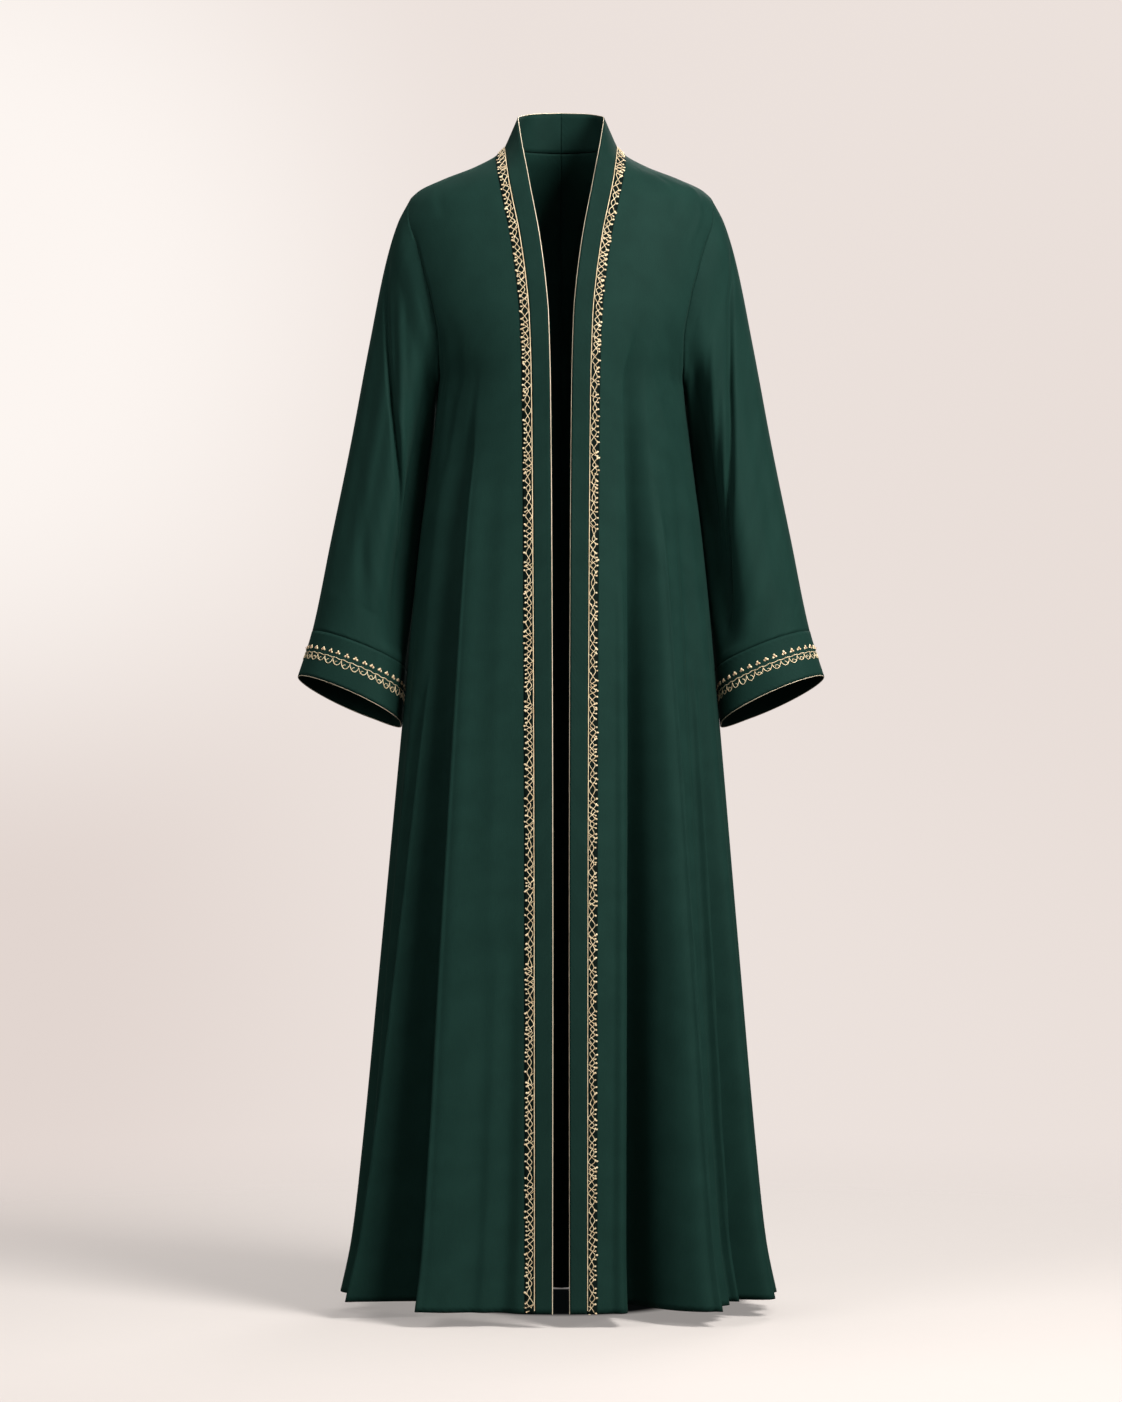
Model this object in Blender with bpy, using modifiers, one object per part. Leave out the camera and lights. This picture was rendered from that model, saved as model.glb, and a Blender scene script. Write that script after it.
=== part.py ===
"""Open-front abaya cloak, as the cloth pieces that its maker cuts and sews.

The cloth hangs filled out, with no wearer.  Metres, +Z up, +X the wearer's left,
-Y the front.  The origin lies between the two neck points of the shoulder seams.
A place on the body's cloth is given by an angle round it (0 at the centre front,
90 at the side, 180 at the centre back) and a level, its height above the origin.
"""
import math
from collections import namedtuple

import bpy
from mathutils import Vector

NAME = "abaya_cloak"
SIDES = {"left": 1, "right": -1}

# Cloth thickness of each kind of piece, and the space left between pieces.
PANEL_THICKNESS = 0.0014
SLEEVE_THICKNESS = 0.0014
CUFF_THICKNESS = 0.0018
BAND_THICKNESS = 0.0018
TRIM_THICKNESS = 0.0010
PIPING_RADIUS = 0.0009
SEAM_GAP = 0.0005
LAY_GAP = 0.0004

# Levels of the main seams and of the hem.
NECK_LEVEL = 0.004
NECK_DIP = 0.001  # how much lower the neck seam is at the centre back
SHOULDER_TIP_LEVEL = -0.060
UNDERARM_LEVEL = -0.295
HEM_FRONT = -1.432
HEM_SIDE = -1.425
HEM_BACK = -1.446

# Half angle that each armhole takes from the front and from the back.
ARMHOLE_ANGLE = math.radians(31)

TRIM_WIDTH = 0.0125
SLEEVE_GAP = 0.0009
UNDERARM_EASE = 0.0017  # how far the sleeve's top keeps off the body under the arm
CUFF_START = 1.002  # along the sleeve, just past its end
CUFF_END = 1.11
CUFF_STEP = 0.0008  # how much wider the cuff is than the sleeve's end, each side

# How finely the pieces are divided.  The back's middle reaches the level of
# BACK_TIP_LEVEL in the rows that go from the neck to the shoulder's tip.
BACK_TIP_LEVEL = -0.085
ARMHOLE_ROWS = 10
SKIRT_ROWS = 15
FRONT_COLUMNS = 14
BACK_COLUMNS = 15
SHOULDER_ROWS = 6
SLEEVE_ROWS = 13
CUFF_ROWS = 2
BAND_COLUMNS = 2

Ring = namedtuple("Ring", "level half_width front back")
BODY_RINGS = [
    Ring(0.012, 0.0625, 0.050, 0.0695),
    Ring(0.004, 0.0692, 0.054, 0.0710),
    Ring(-0.0075, 0.0810, 0.060, 0.0745),
    Ring(-0.0225, 0.1090, 0.068, 0.0810),
    Ring(-0.0375, 0.1475, 0.078, 0.0870),
    Ring(-0.0525, 0.1785, 0.085, 0.0925),
    Ring(-0.0700, 0.1940, 0.092, 0.0970),
    Ring(-0.1000, 0.2030, 0.101, 0.1030),
    Ring(-0.1500, 0.1990, 0.112, 0.1090),
    Ring(-0.2000, 0.1870, 0.119, 0.1110),
    Ring(-0.2500, 0.1690, 0.122, 0.1110),
    Ring(-0.2950, 0.1535, 0.122, 0.1100),
    Ring(-0.3700, 0.1610, 0.122, 0.1120),
    Ring(-0.5000, 0.1775, 0.128, 0.1220),
    Ring(-0.7000, 0.1965, 0.142, 0.1410),
    Ring(-1.0000, 0.2235, 0.166, 0.1690),
    Ring(-1.2500, 0.2465, 0.184, 0.1910),
    Ring(-1.3600, 0.2590, 0.192, 0.2000),
    Ring(-1.4500, 0.2780, 0.202, 0.2110),
]

# Seam between the front panel and the band: half its distance from the other one.
Seam = namedtuple("Seam", "level half")
FRONT_SEAM = [
    Seam(0.004, 0.0692),
    Seam(-0.0125, 0.0680),
    Seam(-0.0385, 0.0648),
    Seam(-0.0650, 0.0600),
    Seam(-0.1105, 0.0507),
    Seam(-0.1745, 0.0418),
    Seam(-0.2160, 0.0382),
    Seam(-0.3060, 0.0355),
    Seam(-0.5650, 0.0335),
    Seam(-1.0000, 0.0320),
    Seam(-1.4500, 0.0315),
]

# The band's free edge in front, against the level of the seam beside it.
Edge = namedtuple("Edge", "level half rise")
FRONT_EDGE = [
    Edge(-0.0650, 0.0373, 0.0060),
    Edge(-0.0815, 0.0338, 0.0050),
    Edge(-0.1105, 0.0282, 0.0040),
    Edge(-0.1405, 0.0235, 0.0030),
    Edge(-0.1745, 0.0192, 0.0020),
    Edge(-0.2160, 0.0157, 0.0010),
    Edge(-0.3060, 0.0133, 0.0),
    Edge(-0.5650, 0.0114, 0.0),
    Edge(-1.0000, 0.0103, 0.0),
    Edge(-1.4500, 0.0108, 0.0),
]

# The free edge where the strip stands up as the collar, against the seam's angle.
Collar = namedtuple("Collar", "angle half forward level")
COLLAR_EDGE = [
    Collar(18.2, 0.0373, 0.0865, -0.0590),
    Collar(24.4, 0.0425, 0.0690, -0.0300),
    Collar(48.0, 0.0488, 0.0490, 0.0040),
    Collar(90.0, 0.0530, 0.0060, 0.0365),
    Collar(125.0, 0.0455, -0.0420, 0.0435),
    Collar(150.0, 0.0280, -0.0600, 0.0480),
    Collar(180.0, 0.0, -0.0670, 0.0510),
]

# Soft folds of the body.  Height is at the hem, outwards; a trough has a minus.
# The near width is its reach towards the front, the far width towards the back.
Fold = namedtuple("Fold", "side angle drift near far start height")
BODY_FOLDS = [
    Fold("right", 33, 0, 18, 10, -0.36, 0.026),
    Fold("right", 48, 0, 8, 16, -0.28, -0.040),
    Fold("right", 66, 4, 9, 6, -0.50, 0.012),
    Fold("right", 76, 2, 7, 10, -0.60, -0.014),
    Fold("right", 90, 0, 10, 14, -0.70, 0.003),
    Fold("right", 104, 0, 10, 10, -0.55, -0.018),
    Fold("right", 121, 0, 11, 9, -0.35, 0.022),
    Fold("right", 139, 0, 11, 15, -0.40, -0.030),
    Fold("right", 163, 0, 12, 12, -0.30, 0.018),
    Fold("left", 22, 10, 8, 14, -0.30, -0.042),
    Fold("left", 39, 5, 10, 12, -0.36, 0.022),
    Fold("left", 55, 3, 7, 12, -0.35, -0.024),
    Fold("left", 68, 5, 9, 6, -0.50, 0.012),
    Fold("left", 77, 2, 6, 10, -0.60, -0.013),
    Fold("left", 90, 0, 10, 14, -0.70, -0.004),
    Fold("left", 107, 0, 10, 12, -0.50, -0.020),
    Fold("left", 127, 0, 11, 10, -0.40, 0.020),
    Fold("left", 145, 0, 12, 15, -0.30, -0.028),
    Fold("left", 169, 0, 11, 11, -0.45, 0.016),
]
FOLD_GROWTH = 1.05
SKIRT_CROWDING = 0.25
NECKLINE_CROWDING = 1.8
SLEEVE_FOLD_SHAPE = 0.6

# Sections of the sleeve, from the armhole (0) to the cuff seam (1) and the cuff edge.
Section = namedtuple("Section", "along outer_x outer_z inner_x inner_z depth middle lift")
SLEEVE_SECTIONS = [
    Section(0.00, 0.1865, -0.0600, 0.1535, -0.2950, 0.056, 0.000, 0.0000),
    Section(0.06, 0.2028, -0.0900, 0.1570, -0.3120, 0.058, -0.004, 0.0000),
    Section(0.15, 0.2182, -0.1375, 0.1590, -0.3400, 0.060, -0.014, 0.0000),
    Section(0.32, 0.2400, -0.2420, 0.1665, -0.4050, 0.063, -0.022, 0.0020),
    Section(0.54, 0.2635, -0.3680, 0.1760, -0.4830, 0.065, -0.020, 0.0050),
    Section(0.76, 0.2872, -0.4850, 0.1850, -0.5620, 0.064, -0.014, 0.0080),
    Section(1.00, 0.3112, -0.6035, 0.1952, -0.6480, 0.060, -0.005, 0.0105),
    Section(1.11, 0.3284, -0.6590, 0.2005, -0.7150, 0.057, 0.000, 0.0125),
]
ARMHOLE_BLEND = 0.38  # how far down the sleeve still bends to the armhole's curve

# Soft folds down the sleeve.  Turn is 0 at the outer side and 90 in front.
SleeveFold = namedtuple("SleeveFold", "side turn width start end height")
SLEEVE_FOLDS = [
    SleeveFold("right", 98, 24, 0.05, 0.90, 0.007),
    SleeveFold("right", 48, 24, 0.10, 0.90, -0.004),
    SleeveFold("right", 142, 38, 0.02, 0.98, -0.026),
    SleeveFold("right", 215, 32, 0.00, 1.30, 0.014),
    SleeveFold("right", 264, 24, 0.10, 0.95, -0.008),
    SleeveFold("right", 305, 24, 0.15, 0.95, 0.005),
    SleeveFold("left", 94, 24, 0.05, 0.90, 0.007),
    SleeveFold("left", 52, 22, 0.12, 0.95, -0.004),
    SleeveFold("left", 140, 38, 0.02, 0.98, -0.026),
    SleeveFold("left", 215, 32, 0.00, 1.30, 0.014),
    SleeveFold("left", 266, 24, 0.10, 0.90, -0.008),
    SleeveFold("left", 310, 24, 0.10, 0.95, 0.005),
]


class Profile:
    """A smooth curve through one column of a table, which never overshoots its rows."""

    def __init__(self, rows, key, column):
        pairs = sorted((getattr(row, key), getattr(row, column)) for row in rows)
        self.keys = [pair[0] for pair in pairs]
        self.values = [pair[1] for pair in pairs]
        self.slopes = self._slopes()

    def _slopes(self):
        steps = [
            (self.values[i + 1] - self.values[i]) / (self.keys[i + 1] - self.keys[i])
            for i in range(len(self.keys) - 1)
        ]
        inner = [
            0.0 if before * after <= 0 else 2 * before * after / (before + after)
            for before, after in zip(steps, steps[1:])
        ]
        return [steps[0]] + inner + [steps[-1]]

    def __call__(self, key):
        last = len(self.keys) - 2
        i = next((n for n in range(last) if key < self.keys[n + 1]), last)
        span = self.keys[i + 1] - self.keys[i]
        t = (key - self.keys[i]) / span
        if t < 0 or t > 1:
            end = i if t < 0 else i + 1
            return self.values[end] + (key - self.keys[end]) * self.slopes[end]
        start = (1 + 2 * t) * (1 - t) ** 2 * self.values[i]
        stop = t * t * (3 - 2 * t) * self.values[i + 1]
        leave = t * (1 - t) ** 2 * span * self.slopes[i]
        arrive = t * t * (t - 1) * span * self.slopes[i + 1]
        return start + stop + leave + arrive


half_width = Profile(BODY_RINGS, "level", "half_width")
front_depth = Profile(BODY_RINGS, "level", "front")
back_depth = Profile(BODY_RINGS, "level", "back")
seam_half = Profile(FRONT_SEAM, "level", "half")
edge_half = Profile(FRONT_EDGE, "level", "half")
edge_rise = Profile(FRONT_EDGE, "level", "rise")
collar_half = Profile(COLLAR_EDGE, "angle", "half")
collar_forward = Profile(COLLAR_EDGE, "angle", "forward")
collar_level = Profile(COLLAR_EDGE, "angle", "level")
SLEEVE = {
    column: Profile(SLEEVE_SECTIONS, "along", column)
    for column in ("outer_x", "outer_z", "inner_x", "inner_z", "depth", "middle", "lift")
}


def mix(a, b, t):
    return a + (b - a) * t


def bump(distance, near, far):
    """A soft hill, 1 in the middle, 0 at the near width before it and the far one after."""
    width = near if distance < 0 else far
    if abs(distance) >= width:
        return 0.0
    return 0.5 + 0.5 * math.cos(math.pi * distance / width)


# ---- the body's cloth ---------------------------------------------------------

def fold_height(side, angle, level):
    total = 0.0
    for fold in BODY_FOLDS:
        if fold.side != side or level >= fold.start:
            continue
        grown = (fold.start - level) / (fold.start - HEM_FRONT)
        centre = fold.angle + fold.drift * (1 - grown)
        height = fold.height * grown ** FOLD_GROWTH
        total += height * bump(math.degrees(angle) - centre, fold.near, fold.far)
    return total


def body_point(side, angle, level):
    """A point of the body's cloth, folds included."""
    across = half_width(level)
    depth = front_depth(level) if angle < math.pi / 2 else back_depth(level)
    outward = Vector((math.sin(angle) / across, -math.cos(angle) / depth, 0)).normalized()
    place = Vector((across * math.sin(angle), -depth * math.cos(angle), level))
    place += outward * fold_height(side, angle, level)
    place.x *= SIDES[side]
    return place


def body_slopes(side, angle, level, step=1e-4):
    """How the cloth's place changes with the angle and with the level."""
    by_angle = body_point(side, angle + step, level) - body_point(side, angle - step, level)
    by_level = body_point(side, angle, level + step) - body_point(side, angle, level - step)
    return by_angle / (2 * step), by_level / (2 * step)


def body_normal(side, angle, level):
    """Unit direction out of the body's cloth."""
    by_angle, by_level = body_slopes(side, angle, level)
    return by_angle.cross(by_level).normalized() * SIDES[side]


def slide(side, angle, level, direction, distance):
    """The angle and level that lie a short distance along the cloth."""
    by_angle, by_level = body_slopes(side, angle, level)
    aa, al, ll = by_angle.dot(by_angle), by_angle.dot(by_level), by_level.dot(by_level)
    da, dl = by_angle.dot(direction) * distance, by_level.dot(direction) * distance
    det = aa * ll - al * al
    return angle + (ll * da - al * dl) / det, level + (aa * dl - al * da) / det


def seam_angle(level):
    return math.asin(min(1.0, seam_half(level) / half_width(level)))


def armhole_angle(turn):
    """Half angle of the armhole at a turn round it: 0 on the shoulder, 180 under the arm."""
    return ARMHOLE_ANGLE * abs(math.sin(turn))


def armhole_level(turn):
    middle = (SHOULDER_TIP_LEVEL + UNDERARM_LEVEL) / 2
    reach = (SHOULDER_TIP_LEVEL - UNDERARM_LEVEL) / 2
    return middle + reach * math.cos(turn)


# ---- the seam round the neck and down the front ---------------------------------

def skirt_levels(hem):
    """Levels of the rows below the armhole, a little closer together near it."""
    levels = []
    for row in range(1, SKIRT_ROWS + 1):
        share = row / SKIRT_ROWS
        levels.append(mix(UNDERARM_LEVEL, hem, mix(share, share ** 2, SKIRT_CROWDING)))
    return levels


def seam_places():
    """Angle and level of the seam's points, from the centre back round and down to the hem."""
    places = []
    for column in range(BACK_COLUMNS):
        share = column / BACK_COLUMNS
        places.append((mix(math.pi, math.pi / 2, share), NECK_LEVEL - NECK_DIP * (1 - share)))
    drop = NECK_LEVEL - UNDERARM_LEVEL
    shares = [(row / ARMHOLE_ROWS) ** NECKLINE_CROWDING for row in range(ARMHOLE_ROWS + 1)]
    levels = [NECK_LEVEL - drop * share for share in shares]
    levels += skirt_levels(HEM_FRONT)
    return places + [(seam_angle(level), level) for level in levels]


def seam_outward(side, places, index):
    """Direction along the cloth, square to the seam and away from the opening."""
    before = body_point(side, *places[max(index - 1, 0)])
    after = body_point(side, *places[min(index + 1, len(places) - 1)])
    normal = body_normal(side, *places[index])
    return normal.cross(after - before).normalized() * SIDES[side]


def beside_seam(side, distance):
    """Angle and level of the seam's points, moved along the cloth."""
    places = seam_places()
    moved = [
        slide(side, *place, seam_outward(side, places, index), distance)
        for index, place in enumerate(places)
    ]
    first = moved[0][1]
    return [(centre_back(first), first)] + moved[1:]


def strip_places(side):
    """For each point of the seam, places at the strip's inner edge, middle and outer edge."""
    distances = (SEAM_GAP / 2, TRIM_WIDTH / 2, TRIM_WIDTH)
    return list(zip(*(beside_seam(side, distance) for distance in distances)))


# ---- grids of points for each piece ---------------------------------------------

def front_side(level):
    """Angle of the front panel's edge at the side or shoulder seam."""
    return math.pi / 2 - SEAM_GAP / 2 / front_depth(level)


def back_side(level):
    """Angle of the back panel's edge at the side or shoulder seam."""
    return math.pi / 2 + SEAM_GAP / 2 / back_depth(level)


def centre_back(level):
    """Angle of the back panel's edge at the centre-back seam."""
    return math.pi - SEAM_GAP / 2 / half_width(level)


def outer_edge(front):
    """Angle and level down the armhole and then the side seam."""
    places = []
    for row in range(ARMHOLE_ROWS + 1):
        turn = math.pi * row / ARMHOLE_ROWS
        level = armhole_level(turn)
        away = armhole_angle(turn)
        if front:
            angle = min(front_side(level), math.pi / 2 - away)
        else:
            angle = max(back_side(level), math.pi / 2 + away)
        places.append((angle, level))
    side_seam = front_side if front else back_side
    return places + [(side_seam(level), level) for level in skirt_levels(HEM_SIDE)]


def blend_places(first, last, count):
    """Places evenly spread from one to another, both included."""
    return [
        (mix(first[0], last[0], i / count), mix(first[1], last[1], i / count))
        for i in range(count + 1)
    ]


def front_places(side):
    """Rows of angle and level for a front panel, from the shoulder seam to the hem."""
    rows = [
        [*beside[:-1], *blend_places(beside[-1], edge, FRONT_COLUMNS)]
        for beside, edge in zip(strip_places(side)[BACK_COLUMNS:], outer_edge(True))
    ]
    shoulder = [(front_side(level), level) for _, level in rows[0]]
    return [shoulder] + rows[1:]


def back_places(side):
    """Rows of angle and level for a back panel, from the neck to the hem."""
    rows = [list(line) for line in zip(*strip_places(side)[:BACK_COLUMNS + 1])]
    middle, top = rows[-1][0][1], rows[-1][-1][1]
    middles = [mix(middle, BACK_TIP_LEVEL, row / SHOULDER_ROWS) for row in range(1, SHOULDER_ROWS)]
    edges = [mix(top, SHOULDER_TIP_LEVEL, row / SHOULDER_ROWS) for row in range(1, SHOULDER_ROWS)]
    edges = [(back_side(level), level) for level in edges]
    for row in range(ARMHOLE_ROWS + 1):
        middles.append(mix(BACK_TIP_LEVEL, UNDERARM_LEVEL, row / ARMHOLE_ROWS))
    middles += skirt_levels(HEM_BACK)
    edges += outer_edge(False)
    for row in rows:
        row[-1] = (back_side(row[-1][1]), row[-1][1])
    for level, edge in zip(middles, edges):
        rows.append(blend_places((centre_back(level), level), edge, BACK_COLUMNS))
    return rows


def body_points(side, rows):
    return [[body_point(side, *place) for place in places] for places in rows]


def band_edge_point(side, angle, level):
    """The free edge of the band or collar beside a point of its seam."""
    if math.degrees(angle) >= COLLAR_EDGE[0].angle:
        turn = math.degrees(angle)
        return Vector((collar_half(turn) * SIDES[side], -collar_forward(turn), collar_level(turn)))
    height = level + edge_rise(level)
    return body_point(side, math.asin(edge_half(level) / half_width(height)), height)


def band_points(side):
    """Rows across the band, from the centre back round the neck and down to the hem."""
    rows = []
    for place, (angle, level) in zip(beside_seam(side, -SEAM_GAP / 2), seam_places()):
        start = body_point(side, *place)
        stop = band_edge_point(side, angle, level)
        rows.append([start.lerp(stop, column / BAND_COLUMNS) for column in range(BAND_COLUMNS + 1)])
    for place in rows[0]:
        place.x = SIDES[side] * SEAM_GAP / 2
    return rows


def trim_points(side):
    """Rows across the embroidered strip, which lies on the panels beside the band."""
    lift = PANEL_THICKNESS / 2 + LAY_GAP + TRIM_THICKNESS / 2
    return [
        [body_point(side, *place) + body_normal(side, *place) * lift for place in places]
        for places in strip_places(side)
    ]


# ---- the sleeve ------------------------------------------------------------------

def armhole_point(side, turn):
    level = armhole_level(turn)
    away = armhole_angle(turn)
    angle = math.pi / 2 - away if math.sin(turn) > 0 else math.pi / 2 + away
    return body_point(side, angle, level)


def ring_point(side, along, turn):
    """A point of the plain oval section of the sleeve."""
    ring = {column: profile(along) for column, profile in SLEEVE.items()}
    share = 0.5 + 0.5 * math.cos(turn)
    x = mix(ring["inner_x"], ring["outer_x"], share)
    z = mix(ring["inner_z"], ring["outer_z"], share) + ring["lift"] * math.sin(turn)
    y = -ring["middle"] - ring["depth"] * math.sin(turn)
    return Vector((x * SIDES[side], y, z))


def sleeve_fold_height(side, along, turn):
    degrees = math.degrees(turn) % 360
    total = 0.0
    for fold in SLEEVE_FOLDS:
        if fold.side != side or not fold.start < along < fold.end:
            continue
        t = (along - fold.start) / (fold.end - fold.start)
        swell = math.sin(math.pi * t) ** SLEEVE_FOLD_SHAPE
        total += fold.height * swell * bump(degrees - fold.turn, fold.width, fold.width)
    return total


def sleeve_point(side, along, turn):
    """A point of the sleeve's cloth, which bends to the armhole's curve at its top."""
    place = ring_point(side, along, turn)
    if along < ARMHOLE_BLEND:
        bend = (1 - along / ARMHOLE_BLEND) ** 2
        place += (armhole_point(side, turn) - ring_point(side, 0.0, turn)) * bend
    middle = (ring_point(side, along, 0) + ring_point(side, along, math.pi)) / 2
    outward = (place - middle).normalized()
    return place + outward * sleeve_fold_height(side, along, turn)


def sleeve_ring(side, along, grow=0.0):
    count = 2 * ARMHOLE_ROWS
    ring = [sleeve_point(side, along, 2 * math.pi * i / count) for i in range(count)]
    if grow:
        middle = sum(ring, Vector()) / count
        ring = [place + (place - middle).normalized() * grow for place in ring]
    return ring


def sleeve_points(side):
    rows = [sleeve_ring(side, row / SLEEVE_ROWS) for row in range(SLEEVE_ROWS + 1)]
    count = len(rows[0])
    for i in range(count):
        onward = (rows[1][i] - rows[0][i]).normalized()
        under = 0.5 - 0.5 * math.cos(2 * math.pi * i / count)
        away = Vector((SIDES[side] * UNDERARM_EASE * under, 0, 0))
        rows[0][i] = rows[0][i] + onward * SLEEVE_GAP + away
    return rows


def cuff_points(side):
    return [
        sleeve_ring(side, mix(CUFF_START, CUFF_END, row / CUFF_ROWS), CUFF_STEP)
        for row in range(CUFF_ROWS + 1)
    ]


# ---- making the objects -----------------------------------------------------------

def new_collection(name):
    collection = bpy.data.collections.new(name)
    bpy.context.scene.collection.children.link(collection)
    return collection


def make_material(name, colour, roughness, metallic=0.0):
    material = bpy.data.materials.new(name)
    material.use_nodes = True
    shader = material.node_tree.nodes["Principled BSDF"]
    shader.inputs["Base Color"].default_value = (*colour, 1.0)
    shader.inputs["Roughness"].default_value = roughness
    shader.inputs["Metallic"].default_value = metallic
    return material


def make_shell(name, rows, thickness, material, collection, inside_out, closed=False):
    """Cloth through a grid of points, given its thickness on both sides of them."""
    across = len(rows[0])
    corners = [place for row in rows for place in row]
    faces = []
    for r in range(len(rows) - 1):
        for c in range(across if closed else across - 1):
            d = (c + 1) % across
            face = [r * across + c, r * across + d, (r + 1) * across + d, (r + 1) * across + c]
            faces.append([face[i] for i in (0, 3, 2, 1)] if inside_out else face)
    mesh = bpy.data.meshes.new(name)
    mesh.from_pydata(corners, [], faces)
    mesh.materials.append(material)
    piece = bpy.data.objects.new(name, mesh)
    collection.objects.link(piece)
    wall = piece.modifiers.new("Cloth thickness", "SOLIDIFY")
    wall.thickness = thickness
    wall.offset = 0.0
    mesh.shade_smooth()
    return piece


def make_piping(name, places, material, collection, cyclic=False):
    curve = bpy.data.curves.new(name, "CURVE")
    curve.dimensions = "3D"
    curve.bevel_depth = PIPING_RADIUS
    curve.bevel_resolution = 1
    curve.use_fill_caps = True
    spline = curve.splines.new("POLY")
    spline.points.add(len(places) - 1)
    for point, place in zip(spline.points, places):
        point.co = (*place, 1.0)
    spline.use_cyclic_u = cyclic
    curve.materials.append(material)
    piece = bpy.data.objects.new(name, curve)
    collection.objects.link(piece)
    return piece


def piping_line(rows):
    """Line beside the last points of the rows, one piping radius and a gap further on."""
    distance = PIPING_RADIUS + SEAM_GAP
    line = []
    for row in rows:
        onward = (row[-1] - row[-2]).normalized()
        line.append(row[-1] + onward * distance)
    return line


def make_body(collection, cloth):
    for side, sign in SIDES.items():
        turned = sign < 0
        front = body_points(side, front_places(side))
        make_shell(f"front_{side}", front, PANEL_THICKNESS, cloth, collection, not turned)
        back = body_points(side, back_places(side))
        make_shell(f"back_{side}", back, PANEL_THICKNESS, cloth, collection, turned)


def make_sleeves(collection, cloth, gold):
    for side, sign in SIDES.items():
        turned = sign < 0
        rows = sleeve_points(side)
        make_shell(f"sleeve_{side}", rows, SLEEVE_THICKNESS, cloth, collection, turned, closed=True)
        rows = cuff_points(side)
        make_shell(f"cuff_{side}", rows, CUFF_THICKNESS, cloth, collection, turned, closed=True)
        columns = [list(column) for column in zip(*rows)]
        make_piping(f"cuff_piping_{side}", piping_line(columns), gold, collection, cyclic=True)


def make_bands(collection, cloth, trim, gold):
    lines = {}
    for side, sign in SIDES.items():
        rows = band_points(side)
        make_shell(f"band_{side}", rows, BAND_THICKNESS, cloth, collection, sign > 0)
        lines[side] = piping_line(rows)
        make_shell(f"trim_{side}", trim_points(side), TRIM_THICKNESS, trim, collection, sign < 0)
    crown = (lines["left"][0] + lines["right"][0]) / 2
    line = lines["left"][:0:-1] + [crown] + lines["right"][1:]
    make_piping("neck_piping", line, gold, collection)


def main():
    for item in list(bpy.data.objects):
        bpy.data.objects.remove(item)
    collection = new_collection(NAME)
    cloth = make_material("green_crepe", (0.012, 0.052, 0.038), 0.62)
    trim = make_material("embroidered_strip", (0.30, 0.22, 0.11), 0.5, 0.2)
    gold = make_material("gold_piping", (0.52, 0.38, 0.22), 0.4, 0.3)
    make_body(collection, cloth)
    make_sleeves(collection, cloth, gold)
    make_bands(collection, cloth, trim, gold)


main()
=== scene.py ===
"""Looks of the open-front abaya cloak: crepe, seams, piping and embroidered borders.

Metres, +Z up, +X the wearer's left, -Y the front.  The origin lies between the two
neck points of the shoulder seams.  A place on the body's cloth is given by an angle
round it (0 at the centre front, 90 at the side, 180 at the centre back) and a level,
its height above the origin.  Each piece of cloth is a thin shell through a fine grid
of such places, on the form of its solid, with creases of its own.
"""

import math
import random
from bisect import bisect_right
from collections import namedtuple

import bpy
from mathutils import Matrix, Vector

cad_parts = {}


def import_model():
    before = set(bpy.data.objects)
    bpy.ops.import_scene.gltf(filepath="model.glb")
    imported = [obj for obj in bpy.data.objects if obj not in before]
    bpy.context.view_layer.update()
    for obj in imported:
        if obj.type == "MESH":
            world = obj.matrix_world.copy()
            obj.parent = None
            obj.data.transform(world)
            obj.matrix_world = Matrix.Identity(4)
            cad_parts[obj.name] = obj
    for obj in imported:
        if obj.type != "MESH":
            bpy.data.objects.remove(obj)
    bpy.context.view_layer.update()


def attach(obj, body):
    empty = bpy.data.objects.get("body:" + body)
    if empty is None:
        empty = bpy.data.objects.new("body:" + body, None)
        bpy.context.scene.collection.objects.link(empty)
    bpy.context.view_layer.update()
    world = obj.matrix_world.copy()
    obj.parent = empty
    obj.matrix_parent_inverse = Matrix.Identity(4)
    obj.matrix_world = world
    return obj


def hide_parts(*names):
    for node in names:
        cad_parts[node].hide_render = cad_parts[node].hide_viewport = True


SIDES = {"left": 1, "right": -1}

# Thickness of the cloth, and how far what lies on a panel stands off its middle.
CLOTH_THICKNESS = 0.0008
BAND_THICKNESS = 0.0016
GROUND_THICKNESS = 0.0005
GROUND_LIFT = 0.0008
THREAD_LIFT = 0.0011
PIPING_RADIUS = 0.0005
PIPING_SHARE = {"left": 0.6, "right": 1.0}  # the left cord sits deeper in its seam
PIPING_SEAT = 0.7  # the part of its radius that the cord stands off the cloth's edge

# Levels of the main seams and of the hem.
NECK_LEVEL = 0.004
NECK_DIP = 0.001  # how much lower the neck seam is at the centre back
SHOULDER_TIP_LEVEL = -0.060
UNDERARM_LEVEL = -0.295
BACK_TIP_LEVEL = -0.085
HEM_FRONT = -1.432
HEM_SIDE = -1.425
HEM_BACK = -1.446
FLOOR_LEVEL = -1.4495

ARMHOLE_ANGLE = math.radians(31)
TRIM_WIDTH = 0.0125
CUFF_START = 1.0
CUFF_END = 1.11
CUFF_BORDER = (1.029, 1.073)  # along the sleeve, the border's upper and lower edge

# How finely the pieces are divided.
ARMHOLE_ROWS = 60
SKIRT_ROWS = 190
FRONT_COLUMNS = 140
BACK_COLUMNS = 64
STRIP_COLUMNS = 4
SHOULDER_ROWS = 16
SLEEVE_ROWS = 120
SLEEVE_COLUMNS = 150
CUFF_ROWS = 14
CUFF_BORDER_COLUMNS = 4
BAND_COLUMNS = 8
CORD_SIDES = 10
THREAD_SIDES = 5

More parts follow.
